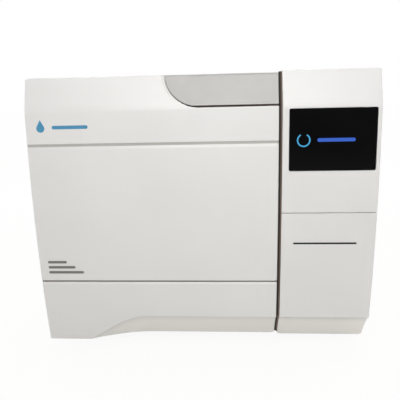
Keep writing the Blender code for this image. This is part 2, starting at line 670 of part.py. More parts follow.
def make_door_inner():
    """Steel liner, yoke, pressure plate and gasket behind the cover."""
    left, right = LEFT_EDGE + COVER_WALL + 0.0006, DOOR_RIGHT - COVER_WALL - 0.0006
    liner_front, liner_rear = PLATE_REAR_Y - 0.0027, PLATE_REAR_Y - 0.0012
    liner = box(
        "door_liner", (left + 0.010, liner_front, 0.0245), (right, liner_rear, DOOR_TOP - 0.0040),
        "stainless",
    )
    before, behind = liner_front - 0.014, liner_rear + 0.014
    liner_hole = PLATE_RADIUS + 0.0015
    half_slot = 0.006
    cut(
        liner,
        rod("liner_hole", (CHAMBER_X, before, CHAMBER_Z), (CHAMBER_X, behind, CHAMBER_Z), liner_hole, steps=40),
        box("liner_hook_slot", (LATCH_X - half_slot, before, LATCH_Z - 0.0115),
            (LATCH_X + half_slot, behind, LATCH_Z + 0.0180)),
    )
    ear_offset, half_ear, ear_size = 0.0065, 0.0015, 0.007
    for side in (-1, 1):
        x = LATCH_X + side * ear_offset
        join(liner, box(f"hook_ear_{side}", (x - half_ear, LATCH_Y - ear_size, LATCH_Z - ear_size),
                        (x + half_ear, liner_front + 0.0007, LATCH_Z + ear_size)))
    half_pin = 0.0075
    join(liner, rod("hook_pin", (LATCH_X - half_pin, LATCH_Y, LATCH_Z), (LATCH_X + half_pin, LATCH_Y, LATCH_Z),
                    0.0025, steps=14))
    yoke_half = 0.080
    yoke_front, yoke_rear = PLATE_FRONT_Y - 0.0124, PLATE_FRONT_Y - 0.0006
    yoke = box("door_yoke", (-0.2220, yoke_front, CHAMBER_Z - yoke_half), (right - BARE, yoke_rear,
                                                                         CHAMBER_Z + yoke_half), "zinc_steel")
    for i, z in enumerate(LOCK_PIN_HEIGHTS):
        cut(
            yoke,
            rod(f"yoke_pin_hole_{i}", (right - 0.018, LOCK_Y, z), (right + 0.008, LOCK_Y, z), 0.0050, steps=16),
        )
    window_width, window_pitch, window_half = 0.060, 0.085, 0.055
    for i in range(3):
        x = -0.170 + window_pitch * i
        cut(yoke, box(f"yoke_window_{i}", (x, yoke_front - 0.01, CHAMBER_Z - window_half),
                      (x + window_width, yoke_rear + 0.01, CHAMBER_Z + window_half)))
    centre = (CHAMBER_X, 0, CHAMBER_Z)
    axis = (0, 1, 0)
    groove_floor = PLATE_REAR_Y - 0.0036
    groove = [(SEAL_INNER, groove_floor), (SEAL_OUTER, groove_floor), (SEAL_OUTER, PLATE_REAR_Y + 0.002),
              (SEAL_INNER, PLATE_REAR_Y + 0.002)]
    profile = [
        (0.0, PLATE_FRONT_Y), (PLATE_RADIUS, PLATE_FRONT_Y), (PLATE_RADIUS, PLATE_REAR_Y),
        (0.0, PLATE_REAR_Y),
    ]
    disc = turned("pressure_plate", profile, centre, axis, "stainless", 40, ring=False)
    cut(disc, turned("gasket_groove", groove, centre, axis, steps=40))
    seal_inner, seal_outer = SEAL_INNER + GAP, SEAL_OUTER - GAP
    seal_base, seal_edge, seal_crown = groove_floor + 0.0003, PLATE_REAR_Y + 0.0010, PLATE_REAR_Y + 0.0016
    seal = [(seal_inner, seal_base), (seal_outer, seal_base), (seal_outer, seal_edge),
            ((seal_inner + seal_outer) / 2, seal_crown), (seal_inner, seal_edge)]
    turned("door_gasket", seal, centre, axis, "silicone", 40)


def make_hinges():
    """Chassis brackets, one long pin, and a plate on the door with a knuckle above and below each bracket."""
    knuckle = 0.0055
    bore = 0.0033
    half = 0.011
    pin_low, pin_high = HINGE_HEIGHTS[0] - 0.031, HINGE_HEIGHTS[1] + 0.031
    for level, z in zip(("lower", "upper"), HINGE_HEIGHTS):
        bracket = rod(f"hinge_bracket_{level}", (HINGE_X, HINGE_Y, z - half), (HINGE_X, HINGE_Y, z + half),
                      knuckle, "zinc_steel", 20)
        join(
            bracket,
            box(
                f"hinge_arm_{level}", (HINGE_X - 0.0035, HINGE_Y, z - half),
                (HINGE_X + 0.0035, -0.2380, z + half),
            ),
            box(
                f"hinge_foot_{level}", (HINGE_X + 0.0010, -0.2394, z - 0.014),
                (HINGE_X + 0.0150, FRAME_FRONT_Y - GAP, z + 0.014),
            ),
        )
        cut(bracket, rod(f"bracket_bore_{level}", (HINGE_X, HINGE_Y, z - 0.02), (HINGE_X, HINGE_Y, z + 0.02),
                         bore, steps=16))
    rod("hinge_pin", (HINGE_X, HINGE_Y, pin_low), (HINGE_X, HINGE_Y, pin_high), bore - GAP, "stainless", 16)
    leaf = box("door_hinge_plate", (HINGE_X + 0.0085, HINGE_Y - 0.0140, pin_low),
               (HINGE_X + 0.0105, HINGE_Y + 0.0030, pin_high), "zinc_steel")
    for i, z in enumerate(HINGE_HEIGHTS):
        for side in (-1, 1):
            low, high = sorted((z + side * 0.0125, z + side * 0.0300))
            join(
                leaf,
                rod(
                    f"knuckle_{i}_{side}", (HINGE_X, HINGE_Y, low), (HINGE_X, HINGE_Y, high), knuckle,
                    steps=20,
                ),
                box(
                    f"knuckle_web_{i}_{side}", (HINGE_X, HINGE_Y - 0.0052, low),
                    (HINGE_X + 0.0090, HINGE_Y - 0.0010, high),
                ),
            )
    cut(leaf, rod("leaf_bore", (HINGE_X, HINGE_Y, pin_low - 0.014), (HINGE_X, HINGE_Y, pin_high + 0.014), bore,
                  steps=16))
    pivot(leaf, (HINGE_X, HINGE_Y, CHAMBER_Z))


def make_latch():
    """Hook that the handle lifts, and the striker bar that it drops behind."""
    nose_bottom = LATCH_Z - 0.0118
    arm_low, arm_high = LATCH_Z - 0.0060, LATCH_Z + 0.0050
    outline = arc((LATCH_Y, LATCH_Z), (0.0065, 0.0065), 60, 300, 10) + [
        (-0.2235, arm_low), (-0.2230, nose_bottom), (-0.2195, nose_bottom), (-0.2165, arm_low + 0.001),
        (-0.2165, arm_high),
    ]
    hook = plate("latch_hook", outline, LATCH_X - 0.0030, LATCH_X + 0.0030, "X", "stainless")
    cut(hook, rod("hook_bore", (0.08, LATCH_Y, LATCH_Z), (0.10, LATCH_Y, LATCH_Z), 0.0030, steps=16))
    pivot(hook, (LATCH_X, LATCH_Y, LATCH_Z))
    bar_y, bar_z, bar_radius = -0.2275, nose_bottom - 0.0042, 0.0030
    half_bar = 0.012
    ends = (LATCH_X - half_bar, bar_y, bar_z), (LATCH_X + half_bar, bar_y, bar_z)
    striker = rod("latch_striker", *ends, bar_radius, "stainless", 16)
    for side in (-1, 1):
        x = LATCH_X + side * 0.0115
        join(striker, box(f"striker_ear_{side}", (x - 0.0015, FRAME_REAR_Y + 0.0004, bar_z - 0.005),
                          (x + 0.0015, bar_y + 0.004, bar_z + 0.005)))


# ---- chamber ------------------------------------------------------------------------------
def dome(radius, start, depth, steps=6):
    """Half-ellipse end of the vessel as (radius, height) points, from the rim to the axis."""
    points = arc((0.0, start), (radius, depth), 0, 90, steps)
    return points[:-1] + [(0.0, start + depth)]


def make_chamber():
    axis = (0, 1, 0)
    centre = (CHAMBER_X, 0, CHAMBER_Z)
    mouth = FLANGE_FRONT_Y + 0.0003
    outer_radius = CHAMBER_RADIUS + CHAMBER_WALL
    outer = [(outer_radius, mouth)] + dome(outer_radius, CHAMBER_REAR_Y, DOME_DEPTH)
    inner = [(CHAMBER_RADIUS, mouth)] + dome(CHAMBER_RADIUS, CHAMBER_REAR_Y, DOME_DEPTH - CHAMBER_WALL)
    turned("chamber_vessel", outer[::-1] + inner, centre, axis, "stainless", 40, ring=False)
    ring_inner = outer_radius + 0.0006
    ring_rear = FRAME_FRONT_Y - GAP
    flange = [(ring_inner, FLANGE_FRONT_Y), (FLANGE_RADIUS, FLANGE_FRONT_Y), (FLANGE_RADIUS, ring_rear),
              (ring_inner, ring_rear)]
    turned("chamber_flange", flange, centre, axis, "stainless", 40)
    jacket = [(JACKET_INNER, JACKET_FRONT_Y), (JACKET_OUTER, JACKET_FRONT_Y), (JACKET_OUTER, JACKET_REAR_Y),
              (JACKET_INNER, JACKET_REAR_Y)]
    turned("insulation_jacket", jacket, centre, axis, "insulation", 36)
    half_cradle = 0.130
    low_y, high_y = JACKET_REAR_Y + 0.0140, JACKET_REAR_Y + 0.0175
    cradle = box(
        "chamber_cradle", (CHAMBER_X - half_cradle, low_y, PAN_TOP),
        (CHAMBER_X + half_cradle, high_y, 0.1700), "zinc_steel",
    )
    cut(cradle, rod("cradle_seat", (CHAMBER_X, low_y - 0.01, CHAMBER_Z), (CHAMBER_X, high_y + 0.01, CHAMBER_Z),
                    outer_radius + 0.0008, steps=40))


def make_tray_rack():
    """Two side plates joined by cross bars, with a ledge on each side under every tray."""
    half = 0.0925
    sheet = 0.0015
    low, high = 0.1420, 0.2900
    bar = 0.004
    sides = [
        box(f"rack_side_{s}", (CHAMBER_X + s * half - sheet / 2, TRAY_FRONT - 0.005, low),
            (CHAMBER_X + s * half + sheet / 2, TRAY_REAR + 0.005, high))
        for s in (-1, 1)
    ]
    rack = box(
        "tray_rack", (CHAMBER_X - half, TRAY_FRONT, low),
        (CHAMBER_X + half, TRAY_FRONT + bar, low + bar), "stainless",
    )
    join(rack, *sides)
    other_bars = (TRAY_REAR - bar, low), (TRAY_FRONT, high - bar), (TRAY_REAR - bar, high - bar)
    for i, (y, z) in enumerate(other_bars):
        join(rack, box(f"rack_bar_{i}", (CHAMBER_X - half, y, z), (CHAMBER_X + half, y + bar, z + bar)))
    for level, z in TRAY_HEIGHTS:
        for s in (-1, 1):
            inner, outer = sorted((CHAMBER_X + s * (half - 0.010), CHAMBER_X + s * half))
            join(rack, box(f"rack_ledge_{level}_{s}", (inner, TRAY_FRONT - 0.003, z - 0.0018),
                           (outer, TRAY_REAR + 0.003, z - 0.0004)))


def make_trays():
    """Three open trays of sheet steel that lie on the rack's ledges."""
    half, wall = TRAY_HALF, TRAY_SHEET
    for level, z in TRAY_HEIGHTS:
        rim = z + TRAY_DEPTH
        tray = box(
            f"tray_{level}", (CHAMBER_X - half, TRAY_FRONT, z), (CHAMBER_X + half, TRAY_REAR, rim),
            "stainless",
        )
        cut(tray, box(f"tray_{level}_hollow", (CHAMBER_X - half + wall, TRAY_FRONT + wall, z + wall),
                      (CHAMBER_X + half - wall, TRAY_REAR - wall, rim + 0.01)))


# ---- machinery bay ------------------------------------------------------------------------
def make_tanks():
    """Used-water tank in front, and the clean-water tank with its filling neck behind."""
    low, top = TANK_LOW, TANK_HIGH
    used = box("used_water_tank", (BAY_LEFT + 0.006, -0.2100, low), (BAY_RIGHT, -0.0750, top), "tank_plastic")
    port = (FILL_NECK[0], -0.140)
    join(used, rod("used_tank_port", (*port, low - 0.010), (*port, low + 0.001), 0.0100, steps=16))
    clean = box("clean_water_tank", (BAY_LEFT, -0.0650, low), (BAY_RIGHT, 0.1200, top), "tank_plastic")
    join(
        clean,
        rod("clean_tank_neck", (*FILL_NECK, top - 0.002), (*FILL_NECK, CASING_TOP - BARE), 0.0180, steps=20),
    )
    cut(clean, rod("neck_bore", (*FILL_NECK, top - 0.030), (*FILL_NECK, CASING_TOP + 0.01), 0.0150, steps=20))


def make_fill_lid():
    """Shallow square cap over the filling neck, hinged along its rear edge."""
    x, y = FILL_NECK
    half = 0.045
    low = CASING_TOP + GAP
    lid = box("fill_lid", (x - half, y - half, low), (x + half, y + half, low + 0.0050), "white_plastic")
    inner = half - COVER_WALL
    cut(lid, box("lid_recess", (x - inner, y - inner, low - 0.002), (x + inner, y + inner, low + 0.0022)))
    pivot(lid, (x, y + half, low))


def make_steam_generator():
    """Small upright boiler on a square stand."""
    x, y = 0.135, -0.160
    low, high = 0.1000, 0.2500
    half_stand = 0.020
    overlap = 0.001
    boiler = rod("steam_generator", (x, y, low), (x, y, high), 0.0320, "stainless", 28)
    join(
        boiler,
        rod("boiler_cap", (x, y, high - overlap), (x, y, high + 0.020), 0.0120, steps=16),
        box(
            "boiler_stand", (x - half_stand, y - half_stand, PAN_TOP),
            (x + half_stand, y + half_stand, low + overlap),
        ),
    )


def make_vacuum_pump():
    """Pump case with its motor lying behind it and its head on top."""
    left, right = 0.105, 0.215
    front, rear, top = -0.030, 0.040, 0.110
    x = (left + right) / 2
    motor_z, head_y = 0.068, 0.005
    pump = box("vacuum_pump", (left, front, PAN_TOP), (right, rear, top), "aluminium")
    join(
        pump,
        rod("pump_motor", (x, rear - 0.002, motor_z), (x, rear + 0.090, motor_z), 0.0380, steps=28),
        rod("pump_head", (x, head_y, top - 0.001), (x, head_y, top + 0.025), 0.0260, steps=24),
    )


def make_valve_block():
    """Brass manifold with three solenoid coils in a row."""
    left, right, low, high = 0.115, 0.215, 0.170, 0.205
    block = box("valve_block", (left, -0.050, low), (right, -0.015, high), "brass")
    coil_y, pitch = -0.032, 0.033
    for i in range(3):
        x = (left + right) / 2 + pitch * (i - 1)
        join(
            block,
            rod(f"solenoid_{i}", (x, coil_y, high - 0.001), (x, coil_y, high + 0.045), 0.0130, steps=20),
        )


def make_electrics():
    """Power supply on the base, and the main board on the right-hand wall."""
    supply_top = 0.050
    supply = box("power_supply", (0.105, 0.165, PAN_TOP), (0.215, 0.250, supply_top), "aluminium")
    join(
        supply,
        box("supply_heat_sink", (0.120, 0.170, supply_top - 0.001), (0.200, 0.245, supply_top + 0.003)),
    )
    face, thickness = 0.2240, 0.0016
    board = box("main_board", (face, 0.040, 0.140), (face + thickness, 0.140, 0.280), "circuit_board")
    for i in range(3):
        z = 0.155 + 0.040 * i
        join(board, box(f"board_part_{i}", (face - 0.010, 0.055, z), (face + 0.001, 0.085, z + 0.025)))


def make_condenser():
    """Finned block between its header plates, in the fan's airflow."""
    y_low, y_high = 0.222, 0.254
    half, fin_half = 0.055, 0.057
    inset = 0.008
    block = box(
        "condenser", (FAN_X - half, y_low + inset, FAN_Z - half),
        (FAN_X + half, y_high - inset, FAN_Z + half), "aluminium",
    )
    fins, pitch, fin_width = 9, 0.0137, 0.0024
    for i in range(fins):
        x = FAN_X + pitch * (i - (fins - 1) / 2)
        join(block, box(f"fin_{i}", (x - fin_width / 2, y_low, FAN_Z - fin_half),
                        (x + fin_width / 2, y_high, FAN_Z + fin_half)))


def make_fan():
    """Square fan frame with a cross of arms, and a rotor with pitched blades."""
    half = FAN_HALF
    low, high = 0.2580, 0.2828
    frame = box(
        "fan_frame", (FAN_X - half, low, FAN_Z - half), (FAN_X + half, high, FAN_Z + half), "dark_plastic",
    )
    cut(frame, rod("fan_bore", (FAN_X, low - 0.01, FAN_Z), (FAN_X, high + 0.01, FAN_Z), FAN_BORE, steps=36))
    arm_low = high - 0.0025
    half_arm = 0.003
    join(
        frame,
        box(
            "fan_arm_level", (FAN_X - half, arm_low, FAN_Z - half_arm),
            (FAN_X + half, high, FAN_Z + half_arm),
        ),
        box(
            "fan_arm_upright", (FAN_X - half_arm, arm_low, FAN_Z - half),
            (FAN_X + half_arm, high, FAN_Z + half),
        ),
    )
    rotor = rod(
        "fan_rotor", (FAN_X, low + 0.003, FAN_Z), (FAN_X, arm_low - 0.001, FAN_Z), 0.0200, "dark_plastic",
        24,
    )
    middle = (low + arm_low) / 2 + 0.001
    blades = 7
    for i in range(blades):
        blade = box(f"fan_blade_{i}", (-0.0080, -0.0008, 0.0180), (0.0080, 0.0008, 0.0540))
        spin = Matrix.Rotation(math.tau * i / blades, 4, "Y")
        pitch = Matrix.Rotation(math.radians(38), 4, "Z")
        blade.matrix_world = Matrix.Translation((FAN_X, middle, FAN_Z)) @ spin @ pitch
        join(rotor, blade)
    pivot(rotor, (FAN_X, middle, FAN_Z))


def make_fan_guard():
    """Concentric rings on a cross of flat bars, outside the rear panel."""
    low, high = CASING_REAR_Y + GAP, CASING_REAR_Y + 0.0030
    reach, half_bar = FAN_HALF, 0.0020
    guard = box("fan_guard", (FAN_X - reach, low, FAN_Z - half_bar), (FAN_X + reach, high, FAN_Z + half_bar),
                "zinc_steel")
    join(
        guard,
        box("guard_upright", (FAN_X - half_bar, low, FAN_Z - reach), (FAN_X + half_bar, high, FAN_Z + reach)),
    )
    half_wire, inset = 0.001, 0.0003
    for i, radius in enumerate((0.018, 0.032, 0.046, 0.056)):
        inner, outer = radius - half_wire, radius + half_wire
        profile = [(inner, low + inset), (outer, low + inset), (outer, high - inset), (inner, high - inset)]
        join(guard, turned(f"guard_ring_{i}", profile, (FAN_X, 0, FAN_Z), (0, 1, 0), steps=28))


# ---- rear fittings ------------------------------------------------------------------------
def make_power_inlet():
    """Mains socket and switch housing in one moulding, with the rocker in its own well."""
    outside = CASING_REAR_Y + GAP
    rim, face = 0.004, 0.0025
    inlet = box("power_inlet", (INLET_LEFT - rim, outside, INLET_LOW - rim),
                (INLET_RIGHT + rim, outside + face, INLET_HIGH + rim), "dark_plastic")
    join(inlet, box("inlet_body", (INLET_LEFT, 0.262, INLET_LOW), (INLET_RIGHT, outside + 0.001, INLET_HIGH)))
    well_half = (0.013, 0.012)
    socket_x, socket_half = 0.200, (0.016, 0.009)
    cut(
        inlet,
        box("socket_well", (socket_x - socket_half[0], 0.2700, ROCKER_Z - socket_half[1]),
            (socket_x + socket_half[0], outside + 0.015, ROCKER_Z + socket_half[1])),
        box("rocker_well", (ROCKER_X - well_half[0], 0.2685, ROCKER_Z - well_half[1]),
            (ROCKER_X + well_half[0], outside + 0.015, ROCKER_Z + well_half[1])),
    )
    blade_pitch, blade_half = 0.009, (0.001, 0.002)
    for i in (-1, 0, 1):
        x = socket_x + blade_pitch * i
        join(inlet, box(f"socket_blade_{i}", (x - blade_half[0], 0.2680, ROCKER_Z - blade_half[1]),
                        (x + blade_half[0], 0.2820, ROCKER_Z + blade_half[1])))
    outline = [
        (ROCKER_Y - 0.006, ROCKER_Z - 0.007), (ROCKER_Y + 0.008, ROCKER_Z - 0.0097),
        (ROCKER_Y + 0.0055, ROCKER_Z), (ROCKER_Y + 0.0045, ROCKER_Z + 0.010),
        (ROCKER_Y - 0.006, ROCKER_Z + 0.007),
    ]
    half_rocker = 0.0122
    rocker = plate("power_rocker", outline, ROCKER_X - half_rocker, ROCKER_X + half_rocker, "X", "red_plastic")
    pivot(rocker, (ROCKER_X, ROCKER_Y, ROCKER_Z))


def make_rear_fittings():
    """Safety valve, barbed drain and the reset button, each through its hole in the rear panel."""
    rear = CASING_REAR_Y
    valve = [(0.0, rear - 0.023), (0.0080, rear - 0.023), (0.0080, rear - 0.007), (0.0120, rear - 0.007),
             (0.0120, rear + 0.007), (0.0070, rear + 0.007), (0.0070, rear + 0.015), (0.0, rear + 0.015)]
    turned("safety_valve", valve, (CHAMBER_X, 0, VALVE_Z), (0, 1, 0), "brass", 20, ring=False)
    barb = [(0.0, rear - 0.015), (0.0085, rear - 0.015), (0.0085, rear + 0.003), (0.0050, rear + 0.003),
            (0.0062, rear + 0.005), (0.0045, rear + 0.010), (0.0045, rear + 0.014), (0.0, rear + 0.014)]
    turned("drain_outlet", barb, (DRAIN_X, 0, DRAIN_Z), (0, 1, 0), "brass", 18, ring=False)
    inside, outside = rear - 0.001, rear + 0.007
    button = rod(
        "reset_button", (RESET_X, inside, RESET_Z), (RESET_X, outside, RESET_Z), 0.0050, "red_plastic", 18,
    )
    pivot(button, (RESET_X, (inside + outside) / 2, RESET_Z))


make_base_pan()
make_casing_cover()
make_rear_panel()
make_front_frame()
make_feet()
make_column_cover()
make_display()
make_service_flap()
make_printer()
make_drain_valves()
make_door_lock()
make_door_cover()
make_door_handle()
make_door_inner()
make_hinges()
make_latch()
make_chamber()
make_tray_rack()
make_trays()
make_tanks()
make_fill_lid()
make_steam_generator()
make_vacuum_pump()
make_valve_block()
make_electrics()
make_condenser()
make_fan()
make_fan_guard()
make_power_inlet()
make_rear_fittings()
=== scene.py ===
"""Looks of the benchtop autoclave: fine covers, handle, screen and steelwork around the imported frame."""

import json
import math
from collections import namedtuple

import bmesh
import bpy
from mathutils import Matrix, Vector


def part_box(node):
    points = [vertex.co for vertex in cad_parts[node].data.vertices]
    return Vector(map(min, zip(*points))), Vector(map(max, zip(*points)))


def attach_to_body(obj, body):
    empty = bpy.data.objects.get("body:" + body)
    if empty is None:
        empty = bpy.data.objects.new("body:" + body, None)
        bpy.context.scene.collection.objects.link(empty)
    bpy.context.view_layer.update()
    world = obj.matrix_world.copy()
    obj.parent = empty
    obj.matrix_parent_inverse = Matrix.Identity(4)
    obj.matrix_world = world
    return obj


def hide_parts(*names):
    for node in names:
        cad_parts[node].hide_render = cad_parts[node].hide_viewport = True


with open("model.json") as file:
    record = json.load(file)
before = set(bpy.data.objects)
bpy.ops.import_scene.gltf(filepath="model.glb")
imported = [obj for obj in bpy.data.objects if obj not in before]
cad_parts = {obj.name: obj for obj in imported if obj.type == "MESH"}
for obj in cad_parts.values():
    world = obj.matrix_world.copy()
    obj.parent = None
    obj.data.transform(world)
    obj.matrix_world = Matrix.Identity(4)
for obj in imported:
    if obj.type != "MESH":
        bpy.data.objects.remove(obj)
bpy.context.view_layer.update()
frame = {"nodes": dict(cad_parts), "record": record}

# ---- places, read from the frame ----------------------------------------------------------
DOOR_LOW, DOOR_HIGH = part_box("door_cover")
COLUMN_LOW, COLUMN_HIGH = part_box("column_cover")
FLAP_LOW, FLAP_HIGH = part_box("service_flap")
LENS_LOW, LENS_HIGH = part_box("display_lens")
HANDLE_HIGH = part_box("door_handle")[1]
CASING_LOW, CASING_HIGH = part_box("casing_cover")
PANEL_LOW, PANEL_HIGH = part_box("rear_panel")
LID_LOW, LID_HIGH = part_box("fill_lid")

MM = 0.001
FRONT_Y = COLUMN_LOW.y
REAR_Y = COLUMN_HIGH.y
WALL = 3 * MM
EDGE = 1.6 * MM
CORNER = 5 * MM
GAP_LIP = 2.2 * MM
SHADE_STRIP_DEPTH = 9 * MM
AHEAD_Y = FRONT_Y - 20 * MM
PAST = 10 * MM
PIN_HOLE = 5.2 * MM
PIN_INSET = 8 * MM

# ---- lights and camera --------------------------------------------------------------------
AMBIENT = 0.30
BACKDROP = 0.80
TOP_POWER = 15
WIDE_POWER = 0.35
UPPER_POWER = 1.32
UPPER_SPREAD = 70
FLOOR_LIGHT = 0.18
FLOOR_GLOW = 0.90

CAMERA_PLACE = (0.0427, -0.957, 0.403)
CAMERA_PITCH, CAMERA_YAW, CAMERA_ROLL = 13.81, -3.88, 1.46
CAMERA_LENS = 44.1

# ---- the covers' front surface, as in the frame -------------------------------------------
BULGE_RADIUS = 1.7
BULGE_Z = 230 * MM
LEAN_Z = 368 * MM
LEAN_SLOPE = 0.357
CREASE_Z = 60 * MM
UNDERCUT_SLOPE = 0.64
UNDERCUT_DIP = 6.5 * MM
UNDERCUT_REACH = 6 * MM
GROOVE_DEPTH = 1.3 * MM
GROOVE_LIP = 0.5 * MM
Groove = namedtuple("Groove", "low high shoulder drop")
LOWER_GROOVE = Groove(117.0 * MM, 119.8 * MM, 2.6 * MM, 1.1 * MM)
UPPER_GROOVE = Groove(317.6 * MM, 321.3 * MM, 4.5 * MM, 1.2 * MM)

ARCH_FOOT_Z = 19.5 * MM
ARCH_START = -0.175
ARCH_RISE = 0.613
ARCH_BLEND = (-0.132, -0.082)

HANDLE_CORNER = 52 * MM
HANDLE_LEFT = -51 * MM
HANDLE_BOTTOM = 366.5 * MM
HANDLE_GAP = 1.8 * MM
HANDLE_SIDE_GAP = 4.8 * MM
HANDLE_SWEEP = 2.6 * MM
POCKET_REAR_Y = FRONT_Y + 32 * MM
HANDLE_LIMIT_Y = -0.250

SLOT_Z = 177 * MM
SLOT_HALF_WIDTH = 43.7 * MM
SLOT_HALF_HEIGHT = 1.3 * MM
SLOT_LIMIT_Y = -0.280

MARK_INSET = 13 * MM
DOOR_MARK_Z = 344 * MM
GREY_BAR_Z = 133 * MM
READ_OUT_Z = 321 * MM
BAR_LENGTH = 50 * MM

LOUVRES = 7
LOUVRE_PITCH = 14 * MM
LOUVRE_LOW_Z = 122.5 * MM
LOUVRE_ENDS = (150 * MM, 220 * MM)


def soft_ramp(value, radius):
    """max(0, value) with a rounded corner that is radius wide on each side."""
    if value <= -radius:
        return 0.0
    if value >= radius:
        return value
    return (value + radius) ** 2 / (4 * radius)


def front_y(z):
    """The covers' front surface at a height: a slight bulge, which leans back above LEAN_Z."""
    rise = min(z, LEAN_Z) - BULGE_Z
    depth = BULGE_RADIUS - math.sqrt(BULGE_RADIUS**2 - rise**2)
    return FRONT_Y + depth + soft_ramp(z - LEAN_Z, 5 * MM) * LEAN_SLOPE


def surface_y(z, crease):
    """Front surface: the bulged face, then an undercut that starts steeply right below the crease."""
    drop = soft_ramp(crease - z, 0.5 * MM)
    dip = UNDERCUT_DIP * (1 - math.exp(-drop / UNDERCUT_REACH))
    return front_y(max(z, crease)) + drop * UNDERCUT_SLOPE + dip


def arch_crease(x):
    """Height of the door's lower crease: a straight rise, then a blend into the level part."""
    start, end = ARCH_BLEND
    if x >= end:
        return CREASE_Z
    if x <= start:
        return ARCH_FOOT_Z + soft_ramp(x - ARCH_START, 4 * MM) * ARCH_RISE
    low = ARCH_FOOT_Z + (start - ARCH_START) * ARCH_RISE
    share = (x - start) / (end - start)
    return low + (CREASE_Z - low) * (1 - (1 - share) ** 2)


def rounding(distance, radius):
    """How far a surface falls back at this distance from a rounded edge."""
    if distance >= radius:
        return 0.0
    return radius - math.sqrt(max(0.0, radius**2 - (radius - distance) ** 2))


def groove_depth(z, groove):
    """Depth of a level line along the door: a crisp upper lip, a floor darkened with painted shade and a
    long shoulder below.
    """
    if z > groove.high:
        return rounding(z - groove.high, GROOVE_LIP)
    if z > groove.low:
        return GROOVE_DEPTH
    return groove.drop * max(0.0, 1 - (groove.low - z) / groove.shoulder) ** 1.5


def groove_heights(groove):
    """Ranges of heights that follow a groove's section."""
    fine = 0.12 * MM
    low, high = groove.low, groove.high
    return [
        (low - groove.shoulder, low, groove.shoulder / 10), (low, low + fine, fine),
        (high - fine, high, fine), (high, high + GROOVE_LIP, fine),
    ]


# ---- mesh helpers -------------------------------------------------------------------------
def new_object(name, data, mat=None):
    made = bpy.data.objects.new(name, data)
    bpy.context.scene.collection.objects.link(made)
    if mat:
        data.materials.append(mat)
    return made


def attach(obj, body, replaces=None):
    """Lets a piece ride on a body and the frame's piece that it stands for."""
    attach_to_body(obj, body)
    if replaces:
        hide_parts(replaces)


def mesh_from(name, bm):
    bmesh.ops.recalc_face_normals(bm, faces=bm.faces)
    mesh = bpy.data.meshes.new(name)
    bm.to_mesh(mesh)
    bm.free()
    return mesh


def smooth(mesh, degrees=35):
    mesh.shade_smooth()
    mesh.set_sharp_from_angle(angle=math.radians(degrees))


def spread(low, high, step):
    """Evenly spaced values from low to high, about step apart, both ends included."""
    count = max(1, round((high - low) / step))
    return [low + (high - low) * i / count for i in range(count + 1)]


def cluster(ranges):
    """Sorted values from (low, high, step) ranges, with near repeats dropped."""
    values = sorted(v for low, high, step in ranges for v in spread(low, high, step))
    kept = values[:1]
    for v in values[1:]:
        if v - kept[-1] > 0.05 * MM:
            kept.append(v)
    return kept


def skin(bm, rings):
    """Joins neighbouring rings of vertices with faces, and caps both ends."""
    for ring, following in zip(rings, rings[1:]):
        for i in range(len(ring)):
            j = (i + 1) % len(ring)
            bm.faces.new((ring[i], ring[j], following[j], following[i]))
    bm.faces.new(rings[0])
    bm.faces.new(rings[-1])


def loft(name, stations, section):
    """A solid through the closed section (y, z) at each place along the width."""
    bm = bmesh.new()
    skin(bm, [[bm.verts.new((x, y, z)) for y, z in section(x)] for x in stations])
    return mesh_from(name, bm)


def box_mesh(name, low, high):
    bm = bmesh.new()
    bmesh.ops.create_cube(bm, size=1.0)
    low, high = Vector(low), Vector(high)
    bmesh.ops.scale(bm, vec=high - low, verts=bm.verts)
    bmesh.ops.translate(bm, vec=(low + high) / 2, verts=bm.verts)
    return mesh_from(name, bm)


def outline_mesh(name, outline, low, high, along):
    """A flat outline given thickness from low to high along one world axis."""
    axes = {
        "X": ((0, 1, 0), (0, 0, 1), (1, 0, 0)),
        "Y": ((1, 0, 0), (0, 0, 1), (0, 1, 0)),
        "Z": ((1, 0, 0), (0, 1, 0), (0, 0, 1)),
    }
    u_axis, v_axis, w_axis = (Vector(axis) for axis in axes[along])
    bm = bmesh.new()
    rings = [[bm.verts.new(u_axis * u + v_axis * v + w_axis * w) for u, v in outline] for w in (low, high)]
    skin(bm, rings)
    return mesh_from(name, bm)


def arc(centre, radii, start, end, steps):
    """Points on an ellipse from start to end degrees."""
    turns = [math.radians(start + (end - start) * i / steps) for i in range(steps + 1)]
    return [(centre[0] + radii[0] * math.cos(t), centre[1] + radii[1] * math.sin(t)) for t in turns]


def circle(centre, radius):
    return arc(centre, (radius, radius), 0, 345, 23)


def rounded_rect(left, right, bottom, top, radius, steps=6):
    corners = (
        ((right - radius, top - radius), 0),
        ((left + radius, top - radius), 90),
        ((left + radius, bottom + radius), 180),
        ((right - radius, bottom + radius), 270),
    )
    return [p for centre, turn in corners for p in arc(centre, (radius, radius), turn, turn + 90, steps)]


def cutter(mesh):
    """A passing object that a Boolean uses and apply_booleans removes."""
    return new_object(mesh.name, mesh)


def apply_booleans(obj, cutters, operation="DIFFERENCE"):
    """Applies one Boolean per cutter to obj's mesh, then removes the cutters."""
    for other in cutters:
        modifier = obj.modifiers.new("cut", "BOOLEAN")
        modifier.operation = operation
        modifier.object = other
    bpy.context.view_layer.update()
    evaluated = obj.evaluated_get(bpy.context.evaluated_depsgraph_get())
    mesh = bpy.data.meshes.new_from_object(evaluated)
    obj.modifiers.clear()
    obj.data = mesh
    for other in cutters:
        bpy.data.objects.remove(other)


def bevel(obj, width, segments=3, degrees=35):
    modifier = obj.modifiers.new("bevel", "BEVEL")
    modifier.width = width
    modifier.segments = segments
    modifier.limit_method = "ANGLE"
    modifier.angle_limit = math.radians(degrees)
    modifier.harden_normals = True


# ---- materials ----------------------------------------------------------------------------
def nodes_for(name):
    made = bpy.data.materials.new(name)
    made.use_nodes = True
    tree = made.node_tree
    return made, tree, tree.nodes["Principled BSDF"]


